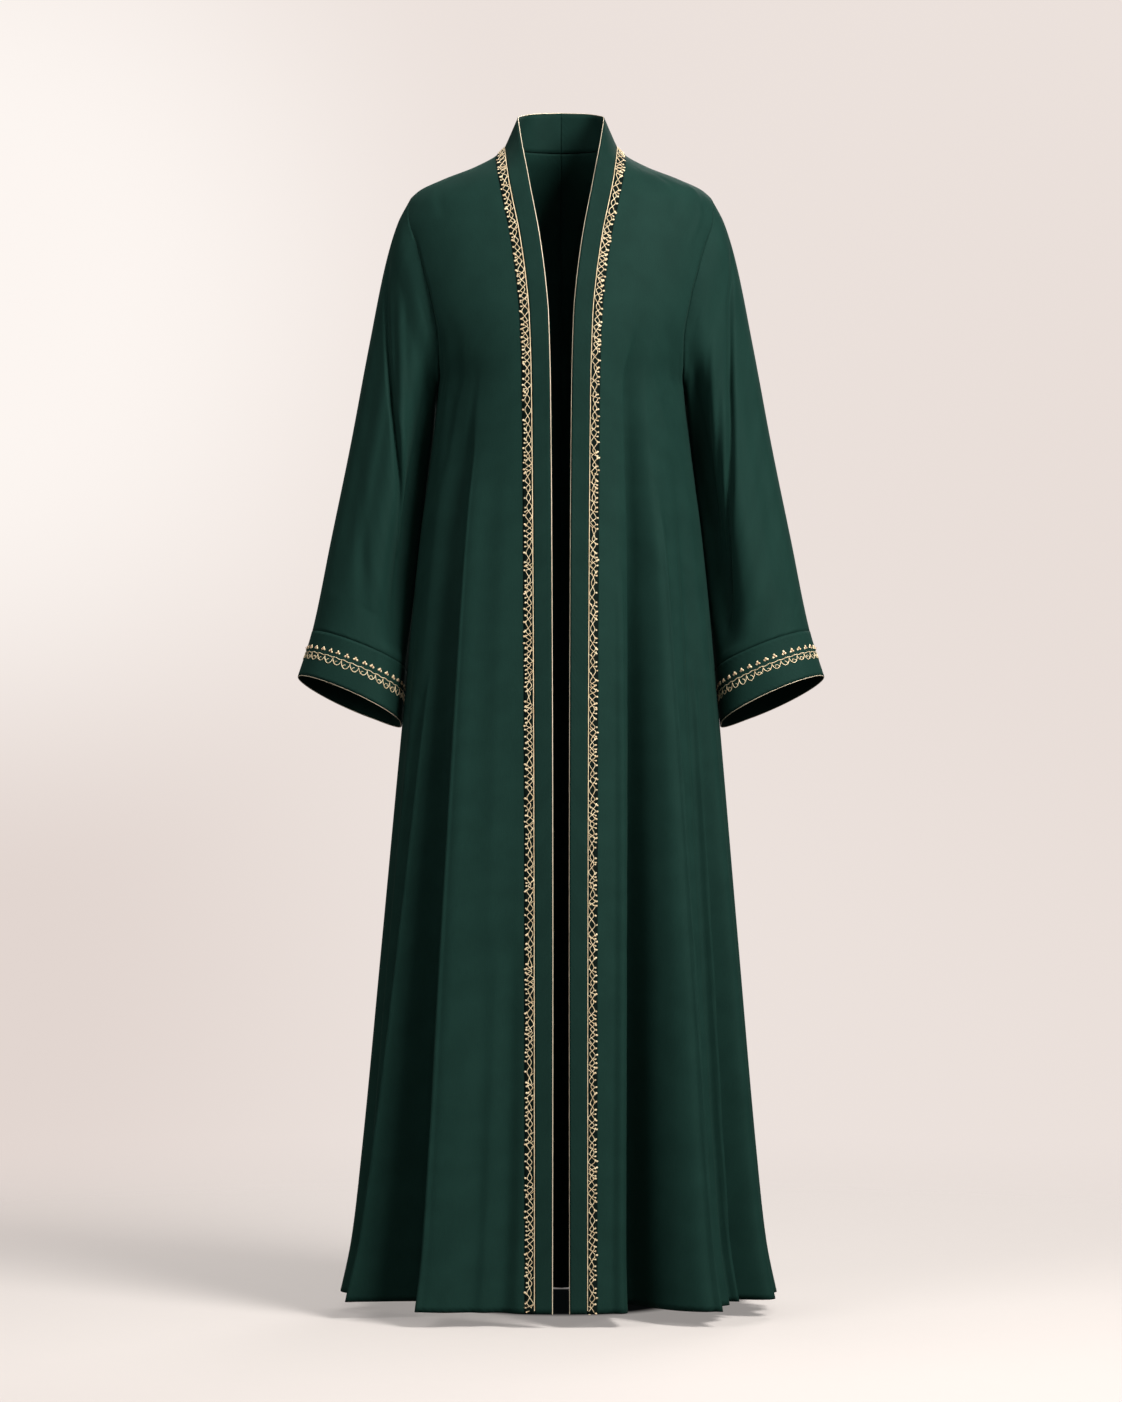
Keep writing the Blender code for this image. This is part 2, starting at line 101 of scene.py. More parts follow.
# Rings round the body: level, half width, depth in front and at the back.
BODY_RINGS = [
    (0.012, 0.0625, 0.050, 0.0695),
    (0.004, 0.0692, 0.054, 0.0710),
    (-0.0075, 0.0810, 0.060, 0.0745),
    (-0.0225, 0.1090, 0.068, 0.0810),
    (-0.0375, 0.1475, 0.078, 0.0870),
    (-0.0525, 0.1785, 0.085, 0.0925),
    (-0.0700, 0.1940, 0.092, 0.0970),
    (-0.1000, 0.2030, 0.101, 0.1030),
    (-0.1500, 0.1990, 0.112, 0.1090),
    (-0.2000, 0.1870, 0.119, 0.1110),
    (-0.2500, 0.1690, 0.122, 0.1110),
    (-0.2950, 0.1535, 0.122, 0.1100),
    (-0.3700, 0.1610, 0.122, 0.1120),
    (-0.5000, 0.1775, 0.128, 0.1220),
    (-0.7000, 0.1965, 0.142, 0.1410),
    (-1.0000, 0.2235, 0.166, 0.1690),
    (-1.2500, 0.2465, 0.184, 0.1910),
    (-1.3600, 0.2590, 0.192, 0.2000),
    (-1.4500, 0.2780, 0.202, 0.2110),
]

# Seam between the front panel and the band: level, half its distance from the other one.
FRONT_SEAM = [
    (0.004, 0.0692), (-0.0125, 0.0680), (-0.0385, 0.0648), (-0.0650, 0.0600),
    (-0.1105, 0.0507), (-0.1745, 0.0418), (-0.2160, 0.0382), (-0.3060, 0.0355),
    (-0.5650, 0.0335), (-1.0000, 0.0320), (-1.4500, 0.0315),
]

# The band's free edge in front: the level of the seam beside it, half the distance
# between the two edges, and how much higher the edge is than the seam's point.
FRONT_EDGE = [
    (-0.0650, 0.0373, 0.0060),
    (-0.0815, 0.0338, 0.0050),
    (-0.1105, 0.0282, 0.0040),
    (-0.1405, 0.0235, 0.0030),
    (-0.1745, 0.0192, 0.0020),
    (-0.2160, 0.0157, 0.0010),
    (-0.3060, 0.0133, 0.0),
    (-0.5650, 0.0114, 0.0),
    (-1.0000, 0.0103, 0.0),
    (-1.4500, 0.0108, 0.0),
]

# The free edge where the strip stands up as the collar: the seam's angle in degrees,
# the edge's distance from the middle, its place forwards, and its level.
COLLAR_EDGE = [
    (18.2, 0.0373, 0.0865, -0.0590),
    (24.4, 0.0425, 0.0690, -0.0300),
    (48.0, 0.0488, 0.0490, 0.0040),
    (90.0, 0.0535, 0.0060, 0.0390),
    (125.0, 0.0455, -0.0420, 0.0480),
    (150.0, 0.0280, -0.0600, 0.0520),
    (180.0, 0.0, -0.0670, 0.0535),
]

# Soft folds of the body: angle at the hem, drift towards its top, width towards the
# front and towards the back, level of its top, and height at the hem, outwards.
BODY_FOLDS = {"right": [
    (33, 0, 18, 10, -0.36, 0.026),
    (48, 0, 8, 16, -0.28, -0.040),
    (66, 4, 9, 6, -0.50, 0.012),
    (76, 2, 7, 10, -0.60, -0.014),
    (90, 0, 10, 14, -0.70, 0.003),
    (104, 0, 10, 10, -0.55, -0.018),
    (121, 0, 11, 9, -0.35, 0.022),
    (139, 0, 11, 15, -0.40, -0.030),
    (163, 0, 12, 12, -0.30, 0.018),
], "left": [
    (22, 10, 8, 14, -0.30, -0.042),
    (39, 5, 10, 12, -0.36, 0.022),
    (55, 3, 7, 12, -0.35, -0.024),
    (68, 5, 9, 6, -0.50, 0.012),
    (77, 2, 6, 10, -0.60, -0.013),
    (90, 0, 10, 14, -0.70, -0.004),
    (107, 0, 10, 12, -0.50, -0.020),
    (127, 0, 11, 10, -0.40, 0.020),
    (145, 0, 12, 15, -0.30, -0.028),
    (169, 0, 11, 11, -0.45, 0.016),
]}
FOLD_GROWTH = 1.05  # the power of its length by which a fold swells

# How much closer together the rows are near the armhole, and near the neck.
SKIRT_CROWDING = 0.25
NECKLINE_CROWDING = 1.8

# What the cloth adds to the folds: deeper troughs, crisp lips on the folds' edges, each
# over a shade line on its far side, and dips beside the borders.
FOLD_LIPS = {"right": [
    (35.5, 5.5, 14, 1.6, -0.34, 0.018),
    (32, 0, 10, 8, -0.34, -0.010),
    (40, 5, 3.5, 20, -0.30, -0.026),
    (23.5, 0, 4, 6, -0.95, -0.006),
    (15.5, 0, 5, 6, -0.95, -0.008),
    (62.5, -4, 8, 1.4, -0.62, 0.013),
    (65.5, -4, 2, 7, -0.62, -0.012),
    (115, 0, 3, 5, -0.60, 0.005),
    (156, 0, 4, 3, -0.55, 0.005),
    (62.5, -4, 1.8, 1.3, -0.62, 0.010),
    (35.8, 5.5, 1.6, 1.2, -0.34, 0.005),
], "left": [
    (17, 8, 4, 1.6, -0.50, 0.013),
    (20, 13, 2.4, 12, -0.20, -0.052),
    (57, 3, 6, 10, -0.35, -0.012),
    (31, 4, 7, 10, -0.50, 0.018),
    (39.2, 6, 1.6, 1.3, -0.42, 0.009),
    (57, 5, 1.8, 1.4, -0.62, 0.009),
    (39, 6, 8, 1.7, -0.40, 0.014),
    (42.5, 6, 2, 8, -0.40, -0.012),
    (57, 5, 6, 1.5, -0.62, 0.012),
    (60, 5, 1.8, 6, -0.62, -0.012),
    (119, 0, 3, 5, -0.60, 0.005),
    (158, 0, 4, 3, -0.50, 0.005),
]}
LIP_GROWTH = 0.65
LIP_EASE = 0.10  # the first share of a lip's length, in which it swells slowly

# Creases in the cloth: width, height, and the line of places that each one follows,
# angle and level on the body, turn and share of its length on the sleeve.  It fades out
# at both of its ends.
ARMHOLE_CREASE = (0.010, -0.0042, ((64, -0.110), (59.5, -0.175), (61, -0.225), (70, -0.272)))
BODY_CREASES = {"right": [
    (0.014, -0.0018, ((46, -0.225), (60, -0.320), (64, -0.420))),
    (0.013, 0.0014, ((52, -0.215), (66, -0.300), (72, -0.400))),
    (0.010, -0.0012, ((56, -0.240), (72, -0.285), (84, -0.320))),
    (0.010, -0.0009, ((42, -0.270), (47, -0.360), (49, -0.430))),
    ARMHOLE_CREASE,
    (0.011, -0.0008, ((66, -0.020), (54, -0.060), (44, -0.095))),
    (0.014, -0.0024, ((130, -0.220), (116, -0.300), (108, -0.380))),
    (0.013, 0.0018, ((142, -0.160), (124, -0.240), (112, -0.310))),
], "left": [
    (0.013, -0.0018, ((47, -0.225), (60, -0.278), (74, -0.330))),
    (0.011, 0.0013, ((40, -0.240), (51, -0.310), (58, -0.380))),
    (0.009, 0.0012, ((58, -0.235), (72, -0.280), (84, -0.315))),
    ARMHOLE_CREASE,
    (0.010, -0.0014, ((62, -0.018), (50, -0.060), (40, -0.105))),
    (0.009, 0.0014, ((76, -0.020), (62, -0.070), (52, -0.120))),
    (0.014, -0.0022, ((128, -0.225), (115, -0.290), (106, -0.360))),
    (0.013, 0.0018, ((138, -0.170), (124, -0.230), (114, -0.300))),
]}
SLEEVE_HEAD_CREASE = (0.035, 0.0130, ((196, 0.01), (216, 0.06), (222, 0.20), (224, 0.40)))
SLEEVE_CREASES = {"right": [
    (0.011, -0.0100,
     ((26, 0.12), (42, 0.20), (66, 0.28), (92, 0.37), (117, 0.52), (131, 0.62))),
    (0.016, 0.0060, ((62, 0.12), (90, 0.265), (110, 0.39), (129, 0.545), (142, 0.68))),
    (0.016, -0.0018, ((60, 0.60), (84, 0.80), (96, 1.00))),
    SLEEVE_HEAD_CREASE,
    (0.014, 0.0030, ((236, 0.10), (258, 0.34), (270, 0.62))),
    (0.013, -0.0035, ((300, 0.05), (276, 0.22), (250, 0.45))),
], "left": [
    (0.013, -0.0120,
     ((21, 0.10), (51, 0.17), (79, 0.32), (102, 0.525), (135, 0.78), (148, 0.92))),
    (0.013, 0.0060, ((90, 0.16), (106, 0.28), (118, 0.38), (133, 0.54), (150, 0.74))),
    SLEEVE_HEAD_CREASE,
    (0.014, 0.0030, ((232, 0.12), (256, 0.36), (266, 0.60))),
    (0.013, -0.0035, ((304, 0.06), (280, 0.24), (252, 0.48))),
]}
CREASE_SHAPE = 0.7  # how full a crease is near its ends: less is fuller
CREASED_TO = -0.45  # the level below which the body has no short creases
CREASED_FROM = 0.03  # the share of the sleeve in which its creases come up to their height

# Usual sizes, which turn a place's angle and share into a length along the cloth.
BODY_RADIUS = 0.16
SLEEVE_RADIUS = 0.065
SLEEVE_LENGTH = 0.60

SLOPE_STEP = 1e-4  # how far from a place its slope is measured, both ways

# Sections of the sleeve, from the armhole (0) to the cuff seam (1) and the cuff edge:
# share, x and level of the outer side, then of the inner side, half depth, how far
# forwards the middle is, and how much the front is above the back, halved.
SLEEVE_SECTIONS = [
    (0.00, 0.1865, -0.0600, 0.1535, -0.2950, 0.056, 0.000, 0.0000),
    (0.06, 0.2028, -0.0900, 0.1570, -0.3120, 0.058, -0.004, 0.0000),
    (0.15, 0.2182, -0.1375, 0.1590, -0.3400, 0.060, -0.014, 0.0000),
    (0.32, 0.2400, -0.2420, 0.1665, -0.4050, 0.063, -0.022, 0.0020),
    (0.54, 0.2635, -0.3680, 0.1760, -0.4830, 0.065, -0.020, 0.0050),
    (0.76, 0.2872, -0.4850, 0.1850, -0.5620, 0.064, -0.014, 0.0080),
    (1.00, 0.3112, -0.6035, 0.1952, -0.6480, 0.060, -0.005, 0.0105),
    (1.11, 0.3284, -0.6590, 0.2005, -0.7150, 0.057, 0.000, 0.0125),
]
ARMHOLE_BLEND = 0.38  # how far down the sleeve still bends to the armhole's curve

# Soft folds down the sleeve: turn, 0 at the outer side and 90 in front, width each way,
# the shares of the sleeve where it starts and ends, and height.
SLEEVE_FOLDS = {"right": [
    (98, 24, 0.05, 0.90, 0.007),
    (48, 24, 0.10, 0.90, -0.004),
    (142, 38, 0.02, 0.98, -0.026),
    (215, 32, 0.00, 1.30, 0.014),
    (264, 24, 0.10, 0.95, -0.008),
    (305, 24, 0.15, 0.95, 0.005),
], "left": [
    (94, 24, 0.05, 0.90, 0.007),
    (52, 22, 0.12, 0.95, -0.004),
    (140, 38, 0.02, 0.98, -0.026),
    (215, 32, 0.00, 1.30, 0.014),
    (266, 24, 0.10, 0.90, -0.008),
    (310, 24, 0.10, 0.95, 0.005),
]}
SLEEVE_FOLD_SHAPE = 0.6  # how full a fold is near its ends: less is fuller


class Profile:
    """A smooth curve through a column of a table against its first column.

    It never overshoots the rows.
    """

    def __init__(self, rows, column):
        pairs = sorted((row[0], row[column]) for row in rows)
        self.keys = [pair[0] for pair in pairs]
        self.values = [pair[1] for pair in pairs]
        steps = [
            (self.values[i + 1] - self.values[i]) / (self.keys[i + 1] - self.keys[i])
            for i in range(len(self.keys) - 1)
        ]
        inner = [
            0.0 if before * after <= 0 else 2 * before * after / (before + after)
            for before, after in zip(steps, steps[1:])
        ]
        self.slopes = [steps[0]] + inner + [steps[-1]]

    def __call__(self, key):
        i = min(max(bisect_right(self.keys, key) - 1, 0), len(self.keys) - 2)
        span = self.keys[i + 1] - self.keys[i]
        t = (key - self.keys[i]) / span
        if t < 0 or t > 1:
            end = i if t < 0 else i + 1
            return self.values[end] + (key - self.keys[end]) * self.slopes[end]
        start = (1 + 2 * t) * (1 - t) ** 2 * self.values[i]
        stop = t * t * (3 - 2 * t) * self.values[i + 1]
        leave = t * (1 - t) ** 2 * span * self.slopes[i]
        arrive = t * t * (t - 1) * span * self.slopes[i + 1]
        return start + stop + leave + arrive


def profiles(rows):
    """A profile for each column of a table but the first."""
    return [Profile(rows, column) for column in range(1, len(rows[0]))]


half_width, front_depth, back_depth = profiles(BODY_RINGS)
[seam_half] = profiles(FRONT_SEAM)
edge_half, edge_rise = profiles(FRONT_EDGE)
collar_half, collar_forward, collar_level = profiles(COLLAR_EDGE)
sleeve_profiles = profiles(SLEEVE_SECTIONS)


def mix(a, b, t):
    return a + (b - a) * t


def even_shares(count):
    """Shares from 0 to 1 in even steps, both included."""
    return [i / count for i in range(count + 1)]


def bump(distance, near, far):
    """A soft hill, 1 in the middle, 0 at the near width before it and the far one after."""
    width = near if distance < 0 else far
    if abs(distance) >= width:
        return 0.0
    return 0.5 + 0.5 * math.cos(math.pi * distance / width)


# ---- the body's cloth

def crease_heights(creases, around, along, radius, length):
    """Height that the creases add at a place: full in the middle of each line."""
    here = Vector((math.radians(around) * radius, along * length))
    total = 0.0
    for width, height, places in creases:
        knots = [Vector((math.radians(a) * radius, b * length)) for a, b in places]
        nearest, share = width, 0.0
        for i, (start, stop) in enumerate(zip(knots, knots[1:])):
            run = stop - start
            t = min(max((here - start).dot(run) / run.length_squared, 0.0), 1.0)
            away = (here - start - run * t).length
            if away < nearest:
                nearest, share = away, (i + t) / (len(knots) - 1)
        if nearest < width:
            swell = math.sin(math.pi * share) ** CREASE_SHAPE
            total += height * swell * bump(nearest, width, width)
    return total


def fold_height(side, angle, level):
    """Height that the folds, lips and creases add to the body's cloth at a place."""
    total = 0.0
    degrees = math.degrees(angle)
    kinds = (BODY_FOLDS, FOLD_GROWTH, 0.0), (FOLD_LIPS, LIP_GROWTH, LIP_EASE)
    for folds, growth, ease in kinds:
        for hem_angle, drift, near, far, top, height in folds[side]:
            if level < top:
                grown = (top - level) / (top - HEM_FRONT)
                centre = hem_angle + drift * (1 - grown)
                swell = grown ** growth * (1 - bump(grown, ease, ease))
                total += height * swell * bump(degrees - centre, near, far)
    if level > CREASED_TO:
        total += crease_heights(BODY_CREASES[side], degrees, level, BODY_RADIUS, 1.0)
    return total


def body_point(side, angle, level):
    """A point of the body's cloth, folds included."""
    across = half_width(level)
    depth = front_depth(level) if angle < math.pi / 2 else back_depth(level)
    outward = Vector((math.sin(angle) / across, -math.cos(angle) / depth, 0)).normalized()
    place = Vector((across * math.sin(angle), -depth * math.cos(angle), level))
    place += outward * fold_height(side, angle, level)
    place.x *= SIDES[side]
    return place


def body_slopes(side, angle, level):
    """How the cloth's place changes with the angle and with the level."""
    step = SLOPE_STEP
    by_angle = body_point(side, angle + step, level) - body_point(side, angle - step, level)
    by_level = body_point(side, angle, level + step) - body_point(side, angle, level - step)
    return by_angle / (2 * step), by_level / (2 * step)


def body_normal(side, angle, level):
    """Unit direction out of the body's cloth."""
    by_angle, by_level = body_slopes(side, angle, level)
    return by_angle.cross(by_level).normalized() * SIDES[side]


def slide(side, angle, level, direction, distance):
    """The angle and level that lie a short distance along the cloth."""
    by_angle, by_level = body_slopes(side, angle, level)
    aa, al, ll = by_angle.dot(by_angle), by_angle.dot(by_level), by_level.dot(by_level)
    da, dl = by_angle.dot(direction) * distance, by_level.dot(direction) * distance
    det = aa * ll - al * al
    return angle + (ll * da - al * dl) / det, level + (aa * dl - al * da) / det


def seam_angle(level):
    return math.asin(min(1.0, seam_half(level) / half_width(level)))


def armhole_angle(turn):
    """Half angle of the armhole at a turn round it: 0 on the shoulder, 180 under the arm."""
    return ARMHOLE_ANGLE * abs(math.sin(turn))


def armhole_level(turn):
    middle = (SHOULDER_TIP_LEVEL + UNDERARM_LEVEL) / 2
    reach = (SHOULDER_TIP_LEVEL - UNDERARM_LEVEL) / 2
    return middle + reach * math.cos(turn)


# ---- the seam round the neck and down the front

def skirt_levels(hem):
    """Levels of the rows below the armhole, a little closer together near it."""
    shares = [mix(share, share ** 2, SKIRT_CROWDING) for share in even_shares(SKIRT_ROWS)[1:]]
    return [mix(UNDERARM_LEVEL, hem, share) for share in shares]


def seam_places():
    """Angle and level of the seam's points, from the centre back round and down to the hem."""
    places = [
        (mix(math.pi, math.pi / 2, share), NECK_LEVEL - NECK_DIP * (1 - share))
        for share in even_shares(BACK_COLUMNS)[:-1]
    ]
    drop = NECK_LEVEL - UNDERARM_LEVEL
    shares = [share ** NECKLINE_CROWDING for share in even_shares(ARMHOLE_ROWS)]
    levels = [NECK_LEVEL - drop * share for share in shares] + skirt_levels(HEM_FRONT)
    return places + [(seam_angle(level), level) for level in levels]


def seam_outward(side, places, index):
    """Direction along the cloth, square to the seam and away from the opening."""
    before = body_point(side, *places[max(index - 1, 0)])
    after = body_point(side, *places[min(index + 1, len(places) - 1)])
    normal = body_normal(side, *places[index])
    return normal.cross(after - before).normalized() * SIDES[side]


def strip_places(side):
    """For each point of the seam, places across the strip of cloth beside it."""
    seam = seam_places()
    steps = [TRIM_WIDTH * column / STRIP_COLUMNS for column in range(STRIP_COLUMNS + 1)]
    lines = []
    for index, place in enumerate(seam):
        outward = seam_outward(side, seam, index)
        lines.append([slide(side, *place, outward, step) for step in steps])
    lines[0] = [(math.pi, level) for _, level in lines[0]]
    return lines


# ---- grids of points for each piece

def outer_edge(front):
    """Angle and level down the armhole and then the side seam."""
    places = []
    for row in range(ARMHOLE_ROWS + 1):
        turn = math.pi * row / ARMHOLE_ROWS
        away = armhole_angle(turn)
        places.append((math.pi / 2 + (-away if front else away), armhole_level(turn)))
    return places + [(math.pi / 2, level) for level in skirt_levels(HEM_SIDE)]


def blend_places(first, last, count):
    """Places evenly spread from one to another, both included."""
    return [
        (mix(first[0], last[0], share), mix(first[1], last[1], share))
        for share in even_shares(count)
    ]


def front_places(strip):
    """Rows of angle and level for a front panel, from the shoulder seam to the hem."""
    rows = [
        [*beside[:-1], *blend_places(beside[-1], edge, FRONT_COLUMNS)]
        for beside, edge in zip(strip[BACK_COLUMNS:], outer_edge(True))
    ]
    rows[0] = [(math.pi / 2, level) for _, level in rows[0]]
    return rows


def back_places(strip):
    """Rows of angle and level for a back panel, from the neck to the hem."""
    rows = [list(line) for line in zip(*strip[:BACK_COLUMNS + 1])]
    middle, top = rows[-1][0][1], rows[-1][-1][1]
    shares = even_shares(SHOULDER_ROWS)[1:-1]
    middles = [mix(middle, BACK_TIP_LEVEL, share) for share in shares]
    middles += [mix(BACK_TIP_LEVEL, UNDERARM_LEVEL, share) for share in even_shares(ARMHOLE_ROWS)]
    middles += skirt_levels(HEM_BACK)
    edges = [(math.pi / 2, mix(top, SHOULDER_TIP_LEVEL, share)) for share in shares]
    edges += outer_edge(False)
    for row in rows:
        row[-1] = (math.pi / 2, row[-1][1])
    for level, edge in zip(middles, edges):
        rows.append(blend_places((math.pi, level), edge, BACK_COLUMNS))
    return rows


def body_points(side, rows):
    return [[body_point(side, *place) for place in places] for places in rows]


def lifted_points(side, rows, lift):
    """Points of the body's cloth, moved out of it."""
    return [
        [body_point(side, *place) + body_normal(side, *place) * lift for place in places]
        for places in rows
    ]


def band_edge_point(side, angle, level):
    """The free edge of the band or collar beside a point of its seam."""
    turn = math.degrees(angle)
    if turn >= collar_half.keys[0]:
        return Vector((collar_half(turn) * SIDES[side], -collar_forward(turn), collar_level(turn)))
    height = level + edge_rise(level)
    return body_point(side, math.asin(edge_half(level) / half_width(height)), height)


def band_points(side):
    """Rows across the band, from the centre back round the neck and down to the hem."""
    rows = []
    for angle, level in seam_places():
        start = body_point(side, angle, level)
        stop = band_edge_point(side, angle, level)
        rows.append([start.lerp(stop, share) for share in even_shares(BAND_COLUMNS)])
    for place in rows[0]:
        place.x = 0.0
    return rows


# ---- the sleeve

def armhole_point(side, turn):
    """A point of the armhole's seam, on the body's cloth."""
    away = armhole_angle(turn)
    angle = math.pi / 2 - away if math.sin(turn) > 0 else math.pi / 2 + away
    return body_point(side, angle, armhole_level(turn))


def ring_point(side, along, turn):
    """A point of the plain oval section of the sleeve."""
    sizes = [profile(along) for profile in sleeve_profiles]
    outer_x, outer_z, inner_x, inner_z, depth, middle, lift = sizes
    share = 0.5 + 0.5 * math.cos(turn)
    x = mix(inner_x, outer_x, share)
    z = mix(inner_z, outer_z, share) + lift * math.sin(turn)
    y = -middle - depth * math.sin(turn)
    return Vector((x * SIDES[side], y, z))


def sleeve_fold_height(side, along, turn):
    """Height that the folds and creases add to the sleeve's cloth at a place."""
    degrees = math.degrees(turn) % 360
    total = 0.0
    for centre, width, start, end, height in SLEEVE_FOLDS[side]:
        if start < along < end:
            t = (along - start) / (end - start)
            swell = math.sin(math.pi * t) ** SLEEVE_FOLD_SHAPE
            total += height * swell * bump(degrees - centre, width, width)
    lines = SLEEVE_CREASES[side]
    creases = crease_heights(lines, degrees, along, SLEEVE_RADIUS, SLEEVE_LENGTH)
    return total + creases * min(1.0, along / CREASED_FROM)


def sleeve_point(side, along, turn):
    """A point of the sleeve's cloth, which bends to the armhole's curve at its top."""
    place = ring_point(side, along, turn)
    if along < ARMHOLE_BLEND:
        bend = (1 - along / ARMHOLE_BLEND) ** 2
        place += (armhole_point(side, turn) - ring_point(side, 0.0, turn)) * bend
    middle = (ring_point(side, along, 0) + ring_point(side, along, math.pi)) / 2
    outward = (place - middle).normalized()
    return place + outward * sleeve_fold_height(side, along, turn)


def sleeve_ring(side, along, lift=0.0):
    """Points round the sleeve from its seam under the arm, moved out of the cloth by a lift."""
    count = SLEEVE_COLUMNS
    turns = [math.pi + 2 * math.pi * i / count for i in range(count)]
    ring = [sleeve_point(side, along, turn) for turn in turns]
    if lift:
        middle = sum(ring, Vector()) / count
        ring = [place + (place - middle).normalized() * lift for place in ring]
    return ring


def sleeve_points(side):
    return [sleeve_ring(side, share) for share in even_shares(SLEEVE_ROWS)]


def cuff_points(side):
    shares = [mix(CUFF_START, CUFF_END, share) for share in even_shares(CUFF_ROWS)]
    return [sleeve_ring(side, share) for share in shares]


# ---- node trees

class Value:
    """A socket of a node tree, which arithmetic turns into Math nodes."""

    def __init__(self, tree, socket):
        self.tree = tree
        self.socket = socket

    def math(self, operation, *values):
        return self.tree.node("ShaderNodeMath", dict(enumerate(values)), operation=operation)

    def __add__(self, other):
        return self.math("ADD", self, other)

    def __sub__(self, other):
        return self.math("SUBTRACT", self, other)

    def __mul__(self, other):
        return self.math("MULTIPLY", self, other)

    def __rsub__(self, other):
        return self.math("SUBTRACT", other, self)

    __radd__ = __add__
    __rmul__ = __mul__

    def smooth_step(self, low, high):
        """0 below the low value, 1 above the high one, and smooth between."""
        values = {"Value": self, "From Min": low, "From Max": high}
        return self.tree.node("ShaderNodeMapRange", values, interpolation_type="SMOOTHSTEP")


class Tree:
    """A node tree written as calls: a node's type, its sockets' values, and its settings."""

    def __init__(self, group):
        self.group = group

    def node(self, kind, values=None, output=0, **settings):
        made = self.group.nodes.new(kind)
        for name, setting in settings.items():
            setattr(made, name, setting)
        for key, value in (values or {}).items():
            if isinstance(value, Value):
                self.group.links.new(value.socket, made.inputs[key])
            else:
                made.inputs[key].default_value = value
        return Value(self, made.outputs[output]) if made.outputs else None

    def blend(self, factor, first, second):
        """One colour over another, by a factor."""
        values = {0: factor, 6: first, 7: second}
        return self.node("ShaderNodeMix", values, output=2, data_type="RGBA")

    def noise(self, place, scale, detail):
        values = {"Vector": place, "Scale": scale, "Detail": detail}
        return self.node("ShaderNodeTexNoise", values)


def rgb(colour, tone=1.0):
    """A colour for a socket, made darker by a tone."""
    return (*(part * tone for part in colour), 1.0)


def empty_tree(owner):
    """The emptied tree of a material or of the world."""
    owner.use_nodes = True
    owner.node_tree.nodes.clear()
    return Tree(owner.node_tree)


def finish_material(tree, values):
    """Ends a material's tree with a surface of the given values."""
    surface = tree.node("ShaderNodeBsdfPrincipled", values)
    tree.node("ShaderNodeOutputMaterial", {"Surface": surface})


def split(tree, vector):
    """The first two parts of a vector."""
    part = tree.node("ShaderNodeSeparateXYZ", {"Vector": vector})
    return part, Value(tree, part.socket.node.outputs[1])


# Dark and light tone of each material.
GREEN = (0.0068, 0.0268, 0.0212), (0.0090, 0.0335, 0.0265)
BAND_GREEN = (0.0053, 0.0215, 0.0170), (0.0070, 0.0268, 0.0212)
# The strip under the border's embroidery is near black: painted shade between its threads.
SHADE_GROUND_GREEN = (0.0015, 0.0050, 0.0040), (0.0024, 0.0080, 0.0062)
GOLD = (0.66, 0.49, 0.28), (1.0, 0.84, 0.56)
ROSE = (0.36, 0.17, 0.10), (0.56, 0.30, 0.20)
SATIN = (0.74, 0.62, 0.44), (0.90, 0.78, 0.58)
SHEEN = (0.45, 0.95, 0.80)

# The grain of the crepe: how close its patterns are, and how high they stand.
GRAIN_SCALE = 620.0
SLUB_STRETCH = (900.0, 60.0, 1.0)
MOTTLE_SCALE = 24.0
GRAIN_HEIGHT = 0.00012
SLUB_HEIGHT = 0.00006

# Its seams: the groove at a piece's edge, with painted shade in it, and the puckers that cross it.
SEAM_SHADE_TONE = 0.65  # how dark the painted shade in a groove is, against the dark tone of the cloth
SLEEVE_SEAM_SHADE_TONE = 0.9
GROOVE_WIDTH = 0.0011
GROOVE_DEPTH = 0.0008
PUCKER_PITCH = 0.009
PUCKER_REACH = 0.012
PUCKER_HEIGHT = 0.00010

# The thread: its patches of tone, and its strands.
PATCH_SCALE = 190.0
STRAND_SCALE = 2600.0
STRAND_HEIGHT = 0.0002


def crepe(name, dark, light, seam_shade_tone=SEAM_SHADE_TONE):
    """Matt crepe: pebbled grain, faint slubs, puckered seams at the piece's edges, and painted
    shade in their grooves.
    """
    material = bpy.data.materials.new(name)
    tree = empty_tree(material)
    weave = tree.node("ShaderNodeUVMap", uv_map="weave")
    edges = tree.node("ShaderNodeUVMap", uv_map="edges")
    side, end = split(tree, edges)
    along, down = split(tree, weave)
    seam = side.math("MINIMUM", side, end)
    grain = tree.noise(weave, GRAIN_SCALE, 2.0)
    slub_map = tree.node("ShaderNodeMapping", {"Vector": weave, "Scale": SLUB_STRETCH})
    slub = tree.noise(slub_map, 1.0, 1.0)
    mottle = tree.noise(weave, MOTTLE_SCALE, 3.0)
    tone = mottle * 0.5 + grain * 0.3 + slub * 0.2
    groove = seam.smooth_step(0.0, GROOVE_WIDTH)
    fleck = tone.smooth_step(0.34, 0.66)
    colour = tree.blend(fleck, rgb(dark), rgb(light))
    # Painted shade: the cloth is darker in the groove along each edge of a piece.
    colour = tree.blend(groove, rgb(dark, seam_shade_tone), colour)
    pucker = (along + down) * (2 * math.pi / PUCKER_PITCH)
    pucker = pucker.math("SINE", pucker) * (1 - seam.smooth_step(0.0, PUCKER_REACH))
    height = grain * GRAIN_HEIGHT + slub * SLUB_HEIGHT + pucker * PUCKER_HEIGHT
    height = height + groove * (GROOVE_DEPTH * (1 - seam_shade_tone))
    values = {"Height": height, "Distance": 1.0, "Strength": 0.8}
    normal = tree.node("ShaderNodeBump", values)
    finish_material(tree, {
        "Base Color": colour,
        "Roughness": 0.66 + grain * 0.14,
        "Normal": normal,
        "Specular IOR Level": 0.06,
        "Sheen Weight": 0.035,
        "Sheen Roughness": 0.45,
        "Sheen Tint": rgb(SHEEN),
    })
    return material


